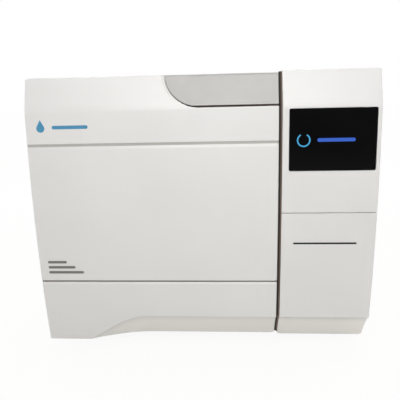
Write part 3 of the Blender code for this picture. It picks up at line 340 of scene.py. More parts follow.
def noise(tree, scale, detail=3.0, stretch=None):
    """A noise texture in object space, optionally stretched along an axis."""
    coordinates = tree.nodes.new("ShaderNodeTexCoord")
    texture = tree.nodes.new("ShaderNodeTexNoise")
    texture.inputs["Scale"].default_value = scale
    texture.inputs["Detail"].default_value = detail
    source = coordinates.outputs["Object"]
    if stretch:
        mapping = tree.nodes.new("ShaderNodeMapping")
        mapping.inputs["Scale"].default_value = stretch
        tree.links.new(source, mapping.inputs["Vector"])
        source = mapping.outputs["Vector"]
    tree.links.new(source, texture.inputs["Vector"])
    return texture.outputs["Fac"]


def ramp(tree, source, low, high, start=0.3, end=0.7):
    """Maps a factor to a colour or value range."""
    mapped = tree.nodes.new("ShaderNodeMapRange")
    mapped.inputs["From Min"].default_value = start
    mapped.inputs["From Max"].default_value = end
    mapped.inputs["To Min"].default_value = low
    mapped.inputs["To Max"].default_value = high
    tree.links.new(source, mapped.inputs["Value"])
    return mapped.outputs["Result"]


def two_tone(tree, source, first, second):
    mixed = tree.nodes.new("ShaderNodeMix")
    mixed.data_type = "RGBA"
    mixed.inputs["A"].default_value = (*first, 1)
    mixed.inputs["B"].default_value = (*second, 1)
    tree.links.new(source, mixed.inputs["Factor"])
    return mixed.outputs["Result"]


def bump(tree, shader, source, strength, distance):
    node = tree.nodes.new("ShaderNodeBump")
    node.inputs["Strength"].default_value = strength
    node.inputs["Distance"].default_value = distance
    tree.links.new(source, node.inputs["Height"])
    tree.links.new(node.outputs["Normal"], shader.inputs["Normal"])


def surface(name, first, second, rough, metallic=0.0, grain=900.0, depth=0.02, stretch=None, coat=0.0):
    """A finish with two close tones, uneven roughness and a fine surface texture."""
    made, tree, shader = nodes_for(name)
    broad = noise(tree, 9.0, 4.0)
    fine = noise(tree, grain, 2.0, stretch)
    tree.links.new(two_tone(tree, ramp(tree, broad, 0, 1), first, second), shader.inputs["Base Color"])
    tree.links.new(ramp(tree, broad, rough[0], rough[1]), shader.inputs["Roughness"])
    shader.inputs["Metallic"].default_value = metallic
    shader.inputs["Coat Weight"].default_value = coat
    bump(tree, shader, fine, depth, 0.0004)
    return made


WHITE = surface("moulded_white", (0.80, 0.80, 0.795), (0.83, 0.83, 0.825), (0.30, 0.38),
                grain=1600, depth=0.012)
SILVER = surface("silver_lacquer", (0.34, 0.335, 0.325), (0.48, 0.475, 0.465), (0.42, 0.54),
                 0.3, 2200, 0.03)
POWDER = surface("powder_coat", (0.76, 0.76, 0.75), (0.80, 0.80, 0.79), (0.42, 0.52),
                 grain=2600, depth=0.10)
BRUSHED = surface("brushed_stainless", (0.56, 0.56, 0.55), (0.66, 0.66, 0.65), (0.22, 0.36), 1.0, 60, 0.10,
                  (1.0, 30.0, 30.0))
ZINC = surface("zinc_plate", (0.42, 0.43, 0.45), (0.55, 0.56, 0.57), (0.35, 0.55), 1.0, 120, 0.10)
ALUMINIUM = surface("cast_aluminium", (0.60, 0.60, 0.61), (0.70, 0.70, 0.71), (0.38, 0.52), 1.0, 700, 0.12)
BRASS = surface("turned_brass", (0.62, 0.43, 0.18), (0.74, 0.55, 0.26), (0.24, 0.40), 1.0, 300, 0.06)
SILICONE = surface("silicone_seal", (0.66, 0.67, 0.69), (0.74, 0.75, 0.77), (0.5, 0.62),
                   grain=800, depth=0.05)
RUBBER = surface("rubber", (0.02, 0.02, 0.02), (0.04, 0.04, 0.04), (0.7, 0.85), grain=1200, depth=0.15)
DARK = surface("dark_moulding", (0.025, 0.025, 0.027), (0.045, 0.045, 0.047), (0.42, 0.55),
               grain=1800, depth=0.12)
TANK = surface("natural_polythene", (0.70, 0.76, 0.80), (0.78, 0.83, 0.86), (0.35, 0.45),
               grain=300, depth=0.05)
WOOL = surface("glass_fibre_wrap", (0.62, 0.58, 0.47), (0.74, 0.70, 0.60), (0.85, 0.95),
               grain=500, depth=0.5)
BOARD = surface("solder_mask", (0.01, 0.10, 0.04), (0.02, 0.20, 0.08), (0.30, 0.45), grain=400, depth=0.1)
PAPER = surface("thermal_paper", (0.84, 0.83, 0.80), (0.90, 0.89, 0.86), (0.6, 0.7), grain=1500, depth=0.05)
RED = surface("red_moulding", (0.45, 0.03, 0.02), (0.58, 0.05, 0.03), (0.3, 0.4), grain=1500, depth=0.05)
# Painted shade: a brown for the gap beside the door, the handle opening and the lever's underside, and a
# near-black deeper in the gap.
PAINTED_GAP_SHADE = surface("gap_shade", (0.14, 0.095, 0.075), (0.18, 0.125, 0.10), (0.6, 0.7),
                    grain=900, depth=0.05)
PAINTED_DEEP_GAP_SHADE = surface("seal_shade", (0.026, 0.018, 0.014), (0.036, 0.025, 0.020), (0.6, 0.7),
                     grain=900, depth=0.05)
# Painted shade for the floor of the lower groove.
LOWER_GROOVE_PAINTED_SHADE = surface("lower_groove_shade", (0.20, 0.18, 0.165), (0.25, 0.23, 0.215), (0.6, 0.7),
                      depth=0.05)
# Painted highlight: a brighter, glossier white for the shoulder below the lower groove.
SHOULDER_PAINTED_HIGHLIGHT = surface("groove_shoulder", (0.93, 0.93, 0.925), (0.95, 0.95, 0.945), (0.12, 0.18),
                 depth=0.005, coat=0.6)
# Painted shade for the floor of the upper groove.
UPPER_GROOVE_PAINTED_SHADE = surface("upper_groove_shade", (0.46, 0.45, 0.43), (0.52, 0.51, 0.49), (0.6, 0.7), depth=0.05)
MARK_GREY = surface("grey_foil", (0.17, 0.17, 0.165), (0.22, 0.22, 0.215), (0.3, 0.4), 0.2, 1200, 0.03)
MARK_BLUE = surface("blue_print", (0.05, 0.26, 0.46), (0.07, 0.32, 0.54), (0.4, 0.5),
                    grain=1500, depth=0.02)


def undercut_white():
    """Moulded white below the crease: painted shade right under it, painted warm, pale bounce light towards
    the rear.
    """
    made, tree, shader = nodes_for("undercut_white")
    coordinates = tree.nodes.new("ShaderNodeTexCoord")
    place = tree.nodes.new("ShaderNodeSeparateXYZ")
    tree.links.new(coordinates.outputs["Object"], place.inputs["Vector"])
    crease_y = front_y(CREASE_Z)
    share = ramp(tree, place.outputs["Y"], 0, 1, crease_y, crease_y + 16 * MM)
    # Painted shade (the darker tone) blending into painted bounce light (the warmer, paler tone).
    shaded, pale = (0.68, 0.67, 0.66), (0.84, 0.825, 0.80)
    tree.links.new(two_tone(tree, share, shaded, pale), shader.inputs["Base Color"])
    shader.inputs["Roughness"].default_value = 0.36
    bump(tree, shader, noise(tree, 1600, 2.0), 0.012, 0.0004)
    return made


def glass_black():
    """Near-black gloss with faint smears."""
    made, tree, shader = nodes_for("screen_glass")
    smears = noise(tree, 14.0, 5.0)
    clean, smeared = (0.0015, 0.0015, 0.002), (0.004, 0.004, 0.0045)
    tree.links.new(two_tone(tree, smears, clean, smeared), shader.inputs["Base Color"])
    tree.links.new(ramp(tree, smears, 0.07, 0.16), shader.inputs["Roughness"])
    shader.inputs["Specular IOR Level"].default_value = 0.08
    return made


def glowing(name, colour):
    """Lit pixels: a finely gridded emission."""
    made, tree, shader = nodes_for(name)
    shader.inputs["Base Color"].default_value = (0, 0, 0, 1)
    cells = tree.nodes.new("ShaderNodeTexChecker")
    coordinates = tree.nodes.new("ShaderNodeTexCoord")
    cells.inputs["Scale"].default_value = 2600
    cells.inputs["Color1"].default_value = (*colour, 1)
    cells.inputs["Color2"].default_value = (*(0.8 * c for c in colour), 1)
    tree.links.new(coordinates.outputs["Object"], cells.inputs["Vector"])
    tree.links.new(cells.outputs["Color"], shader.inputs["Emission Color"])
    shader.inputs["Emission Strength"].default_value = 1.0
    return made


SCREEN = glass_black()
UNDERCUT_PAINTED_LIGHT_AND_SHADE = undercut_white()
LIT_BLUE = glowing("lit_blue", (0.02, 0.11, 0.60))
LIT_CYAN = glowing("lit_cyan", (0.05, 0.42, 0.75))

# ---- door cover ---------------------------------------------------------------------------
def side_section(bottom, top, crease, heights, fall, corner, grooves=()):
    """Closed side outline (y, z): up the front surface, then down the rear.

    fall pushes the front surface back and the top down, and corner pulls the bottom up.
    """
    low, high = bottom + corner, top - fall
    points = []
    for share in heights:
        z = low + (share - bottom) / (top - bottom) * (high - low)
        y = surface_y(z, crease) + fall + rounding(high - z, EDGE) + rounding(z - low, EDGE)
        y += sum(groove_depth(z, groove) for groove in grooves)
        points.append((y, z))
    return points + [(REAR_Y, high), (REAR_Y, low)]


def end_fall(x, left, right, radius):
    return rounding(min(x - left, right - x), radius)


def edge_band(low, high):
    """Fine steps just inside both ends of a range, for rounded edges."""
    fine = EDGE / 6
    return [(low, low + EDGE, fine), (high - EDGE, high, fine)]


def corner_band(left, right):
    """Steps along the width that follow both the small edge radius and the larger corner radius."""
    corners = [(left + EDGE, left + CORNER, 0.4 * MM), (right - CORNER, right - EDGE, 0.4 * MM)]
    return edge_band(left, right) + corners


def cover_section(left, right, bottom, top, crease, heights, grooves=()):
    """The section of a moulded cover, as a function of the place along its width."""

    def section(x):
        fall = end_fall(x, left, right, EDGE)
        corner = end_fall(x, left, right, CORNER)
        return side_section(bottom, top, crease(x), heights, fall, corner, grooves)

    return section


def paint(obj, mat, test):
    """Gives a second material to the faces whose centre and normal pass a test."""
    obj.data.materials.append(mat)
    index = len(obj.data.materials) - 1
    for face in obj.data.polygons:
        if test(face.center, face.normal):
            face.material_index = index


def paint_undercut(obj):
    """Gives the sloping surface below the crease its painted shade and painted bounce light."""

    def below_crease(centre, normal):
        return normal.z < -0.3 and normal.y < -0.1 and centre.z < CREASE_Z + 1 * MM

    paint(obj, UNDERCUT_PAINTED_LIGHT_AND_SHADE, below_crease)


def paint_return(obj, x):
    """Paints shade on the return wall at x, behind its rounded edge, where it faces the gap beside the
    door.
    """

    def in_gap(centre, normal):
        return abs(centre.x - x) < 0.05 * MM and centre.y > surface_y(centre.z, CREASE_Z) + GAP_LIP

    paint(obj, PAINTED_GAP_SHADE, in_gap)


def paint_band(obj, low, high, mat):
    """Gives a level band of the front surface its own material: painted shade in a groove, or a painted
    highlight on a shoulder.
    """
    near = 0.02 * MM

    def in_band(centre, normal):
        return centre.y < front_y(centre.z) + 2 * GROOVE_DEPTH and low - near < centre.z < high + near

    paint(obj, mat, in_band)


def pocket_outline(side, under, steps=32):
    """Outline (x, z) of the handle opening, shrunk at its side and underside, running past the top."""
    left, bottom = HANDLE_LEFT, HANDLE_BOTTOM
    centre = (left + HANDLE_CORNER, DOOR_HIGH.z)
    radii = (HANDLE_CORNER - side, DOOR_HIGH.z - bottom - under)
    corner = arc(centre, radii, 180, 270, steps)
    right, top = DOOR_HIGH.x + PAST, DOOR_HIGH.z + PAST
    return [(corner[0][0], top)] + corner + [(right, corner[-1][1]), (right, top)]


def door_stations():
    """Places along the door's width, close together where the crease rises."""
    left, right = DOOR_LOW.x, DOOR_HIGH.x
    rise_start, rise_end = ARCH_START - 8 * MM, ARCH_BLEND[1] + 2 * MM
    return cluster(corner_band(left, right) + [
        (left + CORNER, rise_start, 12 * MM),
        (rise_start, rise_end, 1.1 * MM),
        (rise_end, right - CORNER, 15 * MM),
    ])


def door_heights():
    """Heights along the door's front surface, close together at its grooves and bends."""
    bottom, top = DOOR_LOW.z, DOOR_HIGH.z
    ranges = edge_band(bottom, top) + [
        (bottom + EDGE, CREASE_Z + 3 * MM, 0.7 * MM),
        (CREASE_Z + 3 * MM, LOWER_GROOVE.low - 7 * MM, 9 * MM),
        (LOWER_GROOVE.high + 2 * MM, UPPER_GROOVE.low - 8 * MM, 12 * MM),
        (UPPER_GROOVE.high + 2 * MM, LEAN_Z - 6 * MM, 9 * MM),
        (LEAN_Z - 6 * MM, LEAN_Z + 6 * MM, 1.2 * MM),
        (LEAN_Z + 6 * MM, top - EDGE, 9 * MM),
    ]
    for groove in (LOWER_GROOVE, UPPER_GROOVE):
        ranges += groove_heights(groove)
    return cluster(ranges)


def door_hollow():
    """Cutter for the inside of the door, which leaves walls round the handle opening."""
    left, right = DOOR_LOW.x + WALL, DOOR_HIGH.x - WALL
    bottom, top = DOOR_LOW.z + WALL, DOOR_HIGH.z - WALL
    stations = cluster([
        (left, ARCH_START, 60 * MM),
        (ARCH_START, ARCH_BLEND[1], 8 * MM),
        (ARCH_BLEND[1], right, 80 * MM),
    ])
    heights = cluster([(bottom, CREASE_Z + 8 * MM, 6 * MM), (CREASE_Z + 8 * MM, top, 16 * MM)])

    def inner(x):
        points = [(surface_y(z, arch_crease(x) + 2 * MM) + WALL + 1 * MM, z) for z in heights]
        return points + [(REAR_Y + PAST, top), (REAR_Y + PAST, bottom)]

    hollow = cutter(loft("door_hollow", stations, inner))
    walls = outline_mesh("pocket_walls", pocket_outline(-WALL, -WALL), AHEAD_Y, POCKET_REAR_Y + WALL, "Y")
    apply_booleans(hollow, [cutter(walls)])
    return hollow


def hinge_notches():
    """Cutters that clear the door's edge round the hinge brackets."""
    notches = []
    left = DOOR_LOW.x
    for level in ("lower", "upper"):
        low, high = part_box(f"hinge_bracket_{level}")
        middle = (low.z + high.z) / 2
        notch = rounded_rect(low.y - 6.5 * MM, REAR_Y + PAST, middle - 34 * MM, middle + 34 * MM, 3 * MM)
        notches.append(cutter(outline_mesh("notch", notch, left - PAST, left + WALL + 1 * MM, "X")))
    return notches


def pin_holes(left, right):
    """Cutters for the holes of the two lock pins, from left to right."""
    low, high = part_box("lock_bar")
    holes = []
    for z in (low.z + PIN_INSET, high.z - PIN_INSET):
        hole = circle(((low.y + high.y) / 2, z), PIN_HOLE)
        holes.append(cutter(outline_mesh("pin_hole", hole, left, right, "X")))
    return holes


def make_door_cover():
    """Moulded cover with two grooves, an arched undercut and the handle opening."""
    left, right = DOOR_LOW.x, DOOR_HIGH.x
    grooves = (LOWER_GROOVE, UPPER_GROOVE)
    section = cover_section(left, right, DOOR_LOW.z, DOOR_HIGH.z, arch_crease, door_heights(), grooves)
    door = new_object("door_shell", loft("door_shell", door_stations(), section), mat=WHITE)
    hollow = door_hollow()
    pocket = cutter(outline_mesh("pocket", pocket_outline(0, 0), AHEAD_Y, POCKET_REAR_Y, "Y"))
    holes = pin_holes(right - 8 * MM, right + 5 * MM)
    apply_booleans(door, [hollow, pocket] + hinge_notches() + holes)
    # Painted shade on the floors of the grooves, and a painted highlight on the lower groove's shoulder.
    for groove, shade in zip(grooves, (LOWER_GROOVE_PAINTED_SHADE, UPPER_GROOVE_PAINTED_SHADE)):
        paint_band(door, groove.low, groove.high, shade)
    paint_band(door, LOWER_GROOVE.low - LOWER_GROOVE.shoulder, LOWER_GROOVE.low, SHOULDER_PAINTED_HIGHLIGHT)
    paint_pocket(door)
    paint_undercut(door)
    smooth(door.data)
    attach(door, "door", "door_cover")
    make_pocket_rim()
    make_pocket_shade_strip()


def paint_pocket(obj):
    """Paints shade on the walls of the handle opening behind its rim."""
    left = HANDLE_LEFT + HANDLE_CORNER / 2

    def in_pocket(centre, normal):
        beside = left < centre.x < DOOR_HIGH.x - 1 * MM
        level = abs(centre.z - HANDLE_BOTTOM) < 0.6 * HANDLE_CORNER
        behind = front_y(centre.z) + 1 * MM < centre.y < POCKET_REAR_Y + 1 * MM
        return beside and level and behind and normal.z > 0.5

    paint(obj, PAINTED_GAP_SHADE, in_pocket)


def make_pocket_shade_strip():
    """A brown strip of painted shade on the floor of the handle opening, just behind its rim."""
    face = front_y(HANDLE_BOTTOM) + 2.5 * MM
    low = (HANDLE_LEFT + HANDLE_CORNER - 8 * MM, face, HANDLE_BOTTOM - 0.5 * MM)
    high = (DOOR_HIGH.x - 1 * MM, face + 3 * MM, HANDLE_BOTTOM + 0.8 * MM)
    strip = new_object("pocket_strip", box_mesh("pocket_strip", low, high), mat=PAINTED_GAP_SHADE)
    attach(strip, "door")


def make_pocket_rim():
    """Rounded moulded lip along the edge of the handle opening, broad at its side and fine underneath."""
    outer = pocket_outline(-0.4 * MM, -0.4 * MM, 40)
    lever = pocket_outline(HANDLE_SIDE_GAP, HANDLE_GAP, 40)
    least = 0.4 * MM
    rail = []
    for (outer_x, outer_z), (lever_x, lever_z) in zip(outer[1:-2], lever[1:-2]):
        inner_x, inner_z = lever_x - 0.6 * MM, lever_z - HANDLE_SWEEP
        across = Vector((outer_x - DOOR_HIGH.x, outer_z - DOOR_HIGH.z)).normalized()
        reach = Vector((outer_x - inner_x, outer_z - inner_z)).dot(across)
        radius = max(least, reach / 2)
        if outer_z < DOOR_HIGH.z - 0.8 * MM:
            rail.append((outer_x - across.x * radius, outer_z - across.y * radius, radius))
    rail.append((DOOR_HIGH.x - 1.2 * MM, outer[-2][1] + least, least))
    curve = bpy.data.curves.new("pocket_rim", "CURVE")
    curve.dimensions = "3D"
    curve.bevel_depth = 1 * MM
    curve.bevel_resolution = 4
    curve.use_fill_caps = True
    spline = curve.splines.new("POLY")
    spline.points.add(len(rail) - 1)
    for point, (x, z, radius) in zip(spline.points, rail):
        point.co = (x, front_y(z) + radius - 0.15 * MM, z, 1.0)
        point.radius = radius / MM
    attach(new_object("pocket_rim", curve, mat=WHITE), "door")


# ---- handle -------------------------------------------------------------------------------
def make_handle():
    """Lever plate on the leaning face, with a rounded finger lip along its top."""
    pin_low, pin_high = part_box("handle_pin")
    y_axis, z_axis = (pin_low.y + pin_high.y) / 2, HANDLE_BOTTOM + 5.5 * MM
    top = HANDLE_HIGH.z - 2 * MM
    skin_depth, lip, roll = 4.0 * MM, 3.5 * MM, 3.2 * MM
    corner = z_axis - HANDLE_SWEEP
    barrel = arc((y_axis, z_axis), (4 * MM, 4 * MM), 0, -115, 12)
    front = [(front_y(z), z) for z in (corner, corner + 1 * MM, top - roll - 2 * MM)]
    crown = arc((front_y(top - roll) + roll * 0.9, top - roll), (roll, roll), 160, 90, 6)
    back = [
        (HANDLE_HIGH.y, top),
        (HANDLE_HIGH.y, top - lip),
        (front_y(top - lip) + skin_depth + 2 * MM, top - lip),
        (front_y(top - lip - 2 * MM) + skin_depth, top - lip - 2 * MM),
        (front_y(z_axis + 6 * MM) + skin_depth, z_axis + 6 * MM),
    ]
    outline = barrel + front + crown + back
    mesh = outline_mesh("handle_lever", outline, HANDLE_LEFT - 5 * MM, DOOR_HIGH.x - 0.6 * MM, "X")
    handle = new_object("handle_lever", mesh, mat=SILVER)
    opening = pocket_outline(HANDLE_SIDE_GAP, HANDLE_GAP, 40)
    limits = cutter(outline_mesh("limits", opening, AHEAD_Y, HANDLE_LIMIT_Y, "Y"))
    apply_booleans(handle, [limits], "INTERSECT")
    bore = circle((y_axis, z_axis), 1.9 * MM)
    cutters = [cutter(outline_mesh("bore", bore, pin_low.x - 30 * MM, pin_high.x + 5 * MM, "X"))]
    for x in (-20 * MM, 84 * MM):
        low = (x - 1 * MM, y_axis + 0.1 * MM, z_axis - 8 * MM)
        high = (x + 7 * MM, y_axis + 12 * MM, z_axis + 8 * MM)
        cutters.append(cutter(box_mesh("lug", low, high)))
    apply_booleans(handle, cutters)
    # Painted shade on the underside of the lever's barrel, seen through the gap below it.
    paint(handle, PAINTED_GAP_SHADE, lambda centre, normal: normal.z < -0.3 and centre.z < z_axis)
    smooth(handle.data, 40)
    bevel(handle, 0.5 * MM, 3, 50)
    attach(handle, "handle", "door_handle")


# ---- column, screen and flap --------------------------------------------------------------
def make_column_cover():
    """Moulded column front with a window for the screen and a bay for the flap."""
    left, right = COLUMN_LOW.x, COLUMN_HIGH.x
    bottom, top = COLUMN_LOW.z, COLUMN_HIGH.z
    stations = cluster(corner_band(left, right) + [(left + CORNER, right - CORNER, 30 * MM)])
    heights = cluster(edge_band(bottom, top) + [
        (bottom + EDGE, CREASE_Z - 6 * MM, 6 * MM),
        (CREASE_Z - 6 * MM, CREASE_Z + 6 * MM, 0.8 * MM),
        (CREASE_Z + 6 * MM, LEAN_Z - 6 * MM, 10 * MM),
        (LEAN_Z - 6 * MM, LEAN_Z + 6 * MM, 1 * MM),
        (LEAN_Z + 6 * MM, top - EDGE, 9 * MM),
    ])
    section = cover_section(left, right, bottom, top, lambda x: CREASE_Z, heights)
    column = new_object("column_shell", loft("column_shell", stations, section), mat=WHITE)
    inner_heights = cluster([(bottom + WALL, CREASE_Z, 15 * MM), (CREASE_Z, top - WALL, 20 * MM)])
    inner = [(surface_y(z, CREASE_Z) + WALL + 0.6 * MM, z) for z in inner_heights]
    inner += [(REAR_Y + PAST, top - WALL), (REAR_Y + PAST, bottom + WALL)]
    hollow = cutter(outline_mesh("hollow", inner, left + WALL, right - WALL, "X"))
    gap = 0.45 * MM
    edges = (LENS_LOW.x - gap, LENS_HIGH.x + gap, LENS_LOW.z - gap, LENS_HIGH.z + gap)
    window = rounded_rect(*edges, 2.4 * MM)
    window = cutter(outline_mesh("window", window, AHEAD_Y, FRONT_Y + 20 * MM, "Y"))
    bay_low = (left - PAST, AHEAD_Y, FLAP_LOW.z - 0.5 * MM)
    bay_high = (right + PAST, FLAP_HIGH.y + 1.4 * MM, FLAP_HIGH.z + 1.2 * MM)
    cutters = [hollow, window, cutter(box_mesh("bay", bay_low, bay_high))]
    apply_booleans(column, cutters + pin_holes(left - 5 * MM, left + 8 * MM))
    # Painted shade on the column's side wall that faces the gap by the door.
    paint_return(column, left)
    paint_undercut(column)
    smooth(column.data)
    attach(column, "chassis", "column_cover")


def make_painted_shade_strip(name, left, right, depth, mat):
    """A strip of painted shade beside the column's side wall, in the gap by the door, that follows its
    front at a depth.
    """
    heights = cluster([
        (COLUMN_LOW.z + CORNER, CREASE_Z, 3 * MM),
        (CREASE_Z, LEAN_Z, 12 * MM),
        (LEAN_Z, COLUMN_HIGH.z - EDGE, 5 * MM),
    ])
    front = [(surface_y(z, CREASE_Z) + depth, z) for z in heights]
    rear = [(y + SHADE_STRIP_DEPTH, z) for y, z in reversed(front)]
    strip = new_object(name, outline_mesh(name, front + rear, left, right, "X"), mat=mat)
    attach(strip, "chassis")


def make_gap_shade_strips():
    """Painted shade in two strips, a brown edge and a darker one deeper in, that close the view into the
    gap by the door, clear of the flap.
    """
    middle = COLUMN_LOW.x - 1.7 * MM
    make_painted_shade_strip("gap_edge", middle, COLUMN_LOW.x - 0.05 * MM, GAP_LIP, PAINTED_GAP_SHADE)
    make_painted_shade_strip("gap_seal", DOOR_HIGH.x + 0.8 * MM, middle, 2 * GAP_LIP, PAINTED_DEEP_GAP_SHADE)


def make_flap():
    """Fold-down panel, rounded on every edge, with a paper slot and the dark throat behind it."""
    left, right = FLAP_LOW.x, FLAP_HIGH.x
    bottom, top = FLAP_LOW.z, FLAP_HIGH.z
    rear = FLAP_HIGH.y
    stations = cluster(edge_band(left, right) + [(left + EDGE, right - EDGE, 30 * MM)])
    heights = cluster(edge_band(bottom, top) + [
        (bottom + EDGE, CREASE_Z + 6 * MM, 0.8 * MM),
        (CREASE_Z + 6 * MM, top - EDGE, 10 * MM),
    ])

    def section(x):
        fall = end_fall(x, left, right, EDGE)
        low, high = bottom + fall, top - fall
        points = []
        for level in heights:
            z = low + (level - bottom) / (top - bottom) * (high - low)
            edges = rounding(high - z, EDGE) * 0.6 + rounding(z - low, EDGE) * 0.4
            points.append((surface_y(z, CREASE_Z) + fall + edges, z))
        return points + [(rear, high), (rear, low)]

    flap = new_object("flap_shell", loft("flap_shell", stations, section), mat=WHITE)
    inner_heights = cluster([(bottom + WALL, top - WALL, 16 * MM)])
    inner = [(surface_y(z, CREASE_Z) + WALL, z) for z in inner_heights]
    inner += [(rear + PAST, top - WALL), (rear + PAST, bottom + WALL)]
    hollow = cutter(outline_mesh("hollow", inner, left + WALL, right - WALL, "X"))
    low, high = slot_box()
    outline = rounded_rect(low[0], high[0], low[1], high[1], 1.2 * MM)
    slot = cutter(outline_mesh("slot", outline, AHEAD_Y, SLOT_LIMIT_Y, "Y"))
    apply_booleans(flap, [hollow, slot])
    # Painted shade on the flap's side wall that faces the gap by the door.
    paint_return(flap, left)
    paint_slot(flap, low, high)
    smooth(flap.data)
    attach(flap, "flap", "service_flap")
    rim = 1.2 * MM
    lip = rounded_rect(low[0] - rim, high[0] + rim, low[1] - rim, high[1] + rim, 2.0 * MM)
    wall_rear = front_y(low[1]) + WALL
    mesh = outline_mesh("slot_throat", lip, wall_rear + 0.1 * MM, wall_rear + 2.5 * MM, "Y")
    attach(new_object("slot_throat", mesh, mat=DARK), "flap")


def paint_slot(obj, low, high):
    """Darkens the walls of the paper slot."""

    def in_slot(centre, normal):
        near = 0.1 * MM
        if centre.y > FRONT_Y + 8 * MM or centre.y < front_y(centre.z) + 0.3 * MM:
            return False
        return low[0] - near < centre.x < high[0] + near and low[1] - near < centre.z < high[1] + near

    paint(obj, DARK, in_slot)


def slot_box():
    """The paper slot's corners (x, z), on the paper roll's centre line."""
    roll_low, roll_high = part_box("paper_roll")
    middle = (roll_low.x + roll_high.x) / 2
    low = (middle - SLOT_HALF_WIDTH, SLOT_Z - SLOT_HALF_HEIGHT)
    return low, (middle + SLOT_HALF_WIDTH, SLOT_Z + SLOT_HALF_HEIGHT)


def plain_bar(name, length, half, low, high):
    """A flat bar with rounded ends, from its left end, drawn in the XZ plane."""
    return outline_mesh(name, rounded_rect(0, length, -half, half, half - 0.1 * MM, 8), low, high, "Y")


def make_screen():
    """Black glass flush with the column, and a plain status read-out on its face."""
    low, high = LENS_LOW, LENS_HIGH

    def section_y(z):
        share = (z - low.z) / (high.z - low.z)
        return front_y(low.z) + share * (front_y(high.z) - front_y(low.z))

    bm = bmesh.new()
    outline = rounded_rect(low.x, high.x, low.z, high.z, 2.0 * MM, 8)
    depths = (0.15 * MM, 3 * MM)
    skin(bm, [[bm.verts.new((x, section_y(z) + depth, z)) for x, z in outline] for depth in depths])
    lens = new_object("screen_glass", mesh_from("screen_glass", bm), mat=SCREEN)
    bevel(lens, 0.35 * MM, 2)
    attach(lens, "chassis", "display_lens")
    lean = math.atan2(front_y(high.z) - front_y(low.z), high.z - low.z)

    def lit(name, mesh, mat, x):
        shape = new_object(name, mesh, mat=mat)
        place = Matrix.Translation((x, section_y(READ_OUT_Z) + 0.02 * MM, READ_OUT_Z))
        shape.matrix_world = place @ Matrix.Rotation(-lean, 4, "X")
        attach(shape, "chassis")

    thin = 0.1 * MM
    start = low.x + 9 * MM
    lit("dial_ring", ring_mesh("dial_ring", 9.0 * MM, 7.2 * MM, thin, 300), LIT_CYAN, start + 10 * MM)
    lit("level_bar", plain_bar("level_bar", BAR_LENGTH, 2.4 * MM, -thin, 0), LIT_BLUE, start + 28 * MM)


def ring_mesh(name, outer, inner, thickness, sweep):
    """A flat open ring in the XZ plane, sweep degrees long."""
    steps = 40
    start = 90 + (360 - sweep) / 2
    outline = arc((0, 0), (outer, outer), start, start + sweep, steps)
    outline += arc((0, 0), (inner, inner), start + sweep, start, steps)
    return outline_mesh(name, outline, -thickness, 0, "Y")


# ---- marks --------------------------------------------------------------------------------
def on_door(name, mesh, mat, x, z):
    """Lays a thin shape, drawn in the XZ plane, on the door's front surface."""
    step = 1 * MM
    slope = math.atan2(front_y(z + step) - front_y(z - step), 2 * step)
    mark = new_object(name, mesh, mat=mat)
    mark.matrix_world = Matrix.Translation((x, front_y(z), z)) @ Matrix.Rotation(-slope, 4, "X")
    attach(mark, "door")


def make_marks():
    """Plain printed shapes where a maker would put its marks: a droplet with a bar, and three bars."""
    low, high = -0.15 * MM, 0.3 * MM
    left = DOOR_LOW.x + MARK_INSET
    radius = 5.6 * MM
    drop = [(0.0, 11.5 * MM)] + arc((0, 0), (radius, radius), 35, -215, 30)
    mesh = outline_mesh("drop_mark", drop, low, high, "Y")
    on_door("drop_mark", mesh, MARK_BLUE, left + 8 * MM, DOOR_MARK_Z - 1 * MM)
    mesh = plain_bar("bar_mark", BAR_LENGTH, 2.4 * MM, low, high)
    on_door("bar_mark", mesh, MARK_BLUE, left + 24 * MM, DOOR_MARK_Z)
    for i, length in enumerate((52 * MM, 40 * MM, 28 * MM)):
        mesh = plain_bar("grey_bar", length, 1.9 * MM, -0.3 * MM, 0.5 * MM)
        on_door(f"grey_bar_{i}", mesh, MARK_GREY, left, GREY_BAR_Z + 8 * MM * i)


# ---- casing, lid and rear -----------------------------------------------------------------
def make_casing():
    """Wrap-round sheet cover with round-ended louvres, the filling hole and fixing screws."""
    low, high = CASING_LOW, CASING_HIGH
    radius, sheet, steps = 12 * MM, 1.2 * MM, 14

    def wrap(inset):
        half = high.x - inset
        top = high.z - inset
        r = radius - inset
        left = arc((-half + r, top - r), (r, r), 180, 90, steps)
        right = arc((half - r, top - r), (r, r), 90, 0, steps)
        return [(-half, low.z)] + left + right + [(half, low.z)]

    mesh = outline_mesh("casing_wrap", wrap(0) + wrap(sheet)[::-1], low.y, high.y, "Y")
    casing = new_object("casing_wrap", mesh, mat=POWDER)
    cutters = []
    for i in range(LOUVRES):
        z = LOUVRE_LOW_Z + LOUVRE_PITCH * i
        slot = rounded_rect(*LOUVRE_ENDS, z - 2.5 * MM, z + 2.5 * MM, 2.4 * MM, 5)
        for side in (-1, 1):
            ends = sorted((side * (high.x - 5 * MM), side * (high.x + 5 * MM)))
            cutters.append(cutter(outline_mesh("slot", slot, *ends, "X")))
    lid_x, lid_y = (LID_LOW.x + LID_HIGH.x) / 2, (LID_LOW.y + LID_HIGH.y) / 2
    hole = arc((lid_x, lid_y), (20 * MM, 20 * MM), 0, 354, 59)
    cutters.append(cutter(outline_mesh("hole", hole, high.z - PAST, high.z + PAST, "Z")))
    apply_booleans(casing, cutters)
    smooth(casing.data, 30)
    bevel(casing, 0.35 * MM, 2, 40)
    attach(casing, "chassis", "casing_cover")
    for side, word in ((-1, "left"), (1, "right")):
        for i, y in enumerate((-200 * MM, 0.0, 200 * MM)):
            make_screw(f"side_screw_{word}_{i}", (side * high.x, y, low.z + 14 * MM), (side, 0, 0))


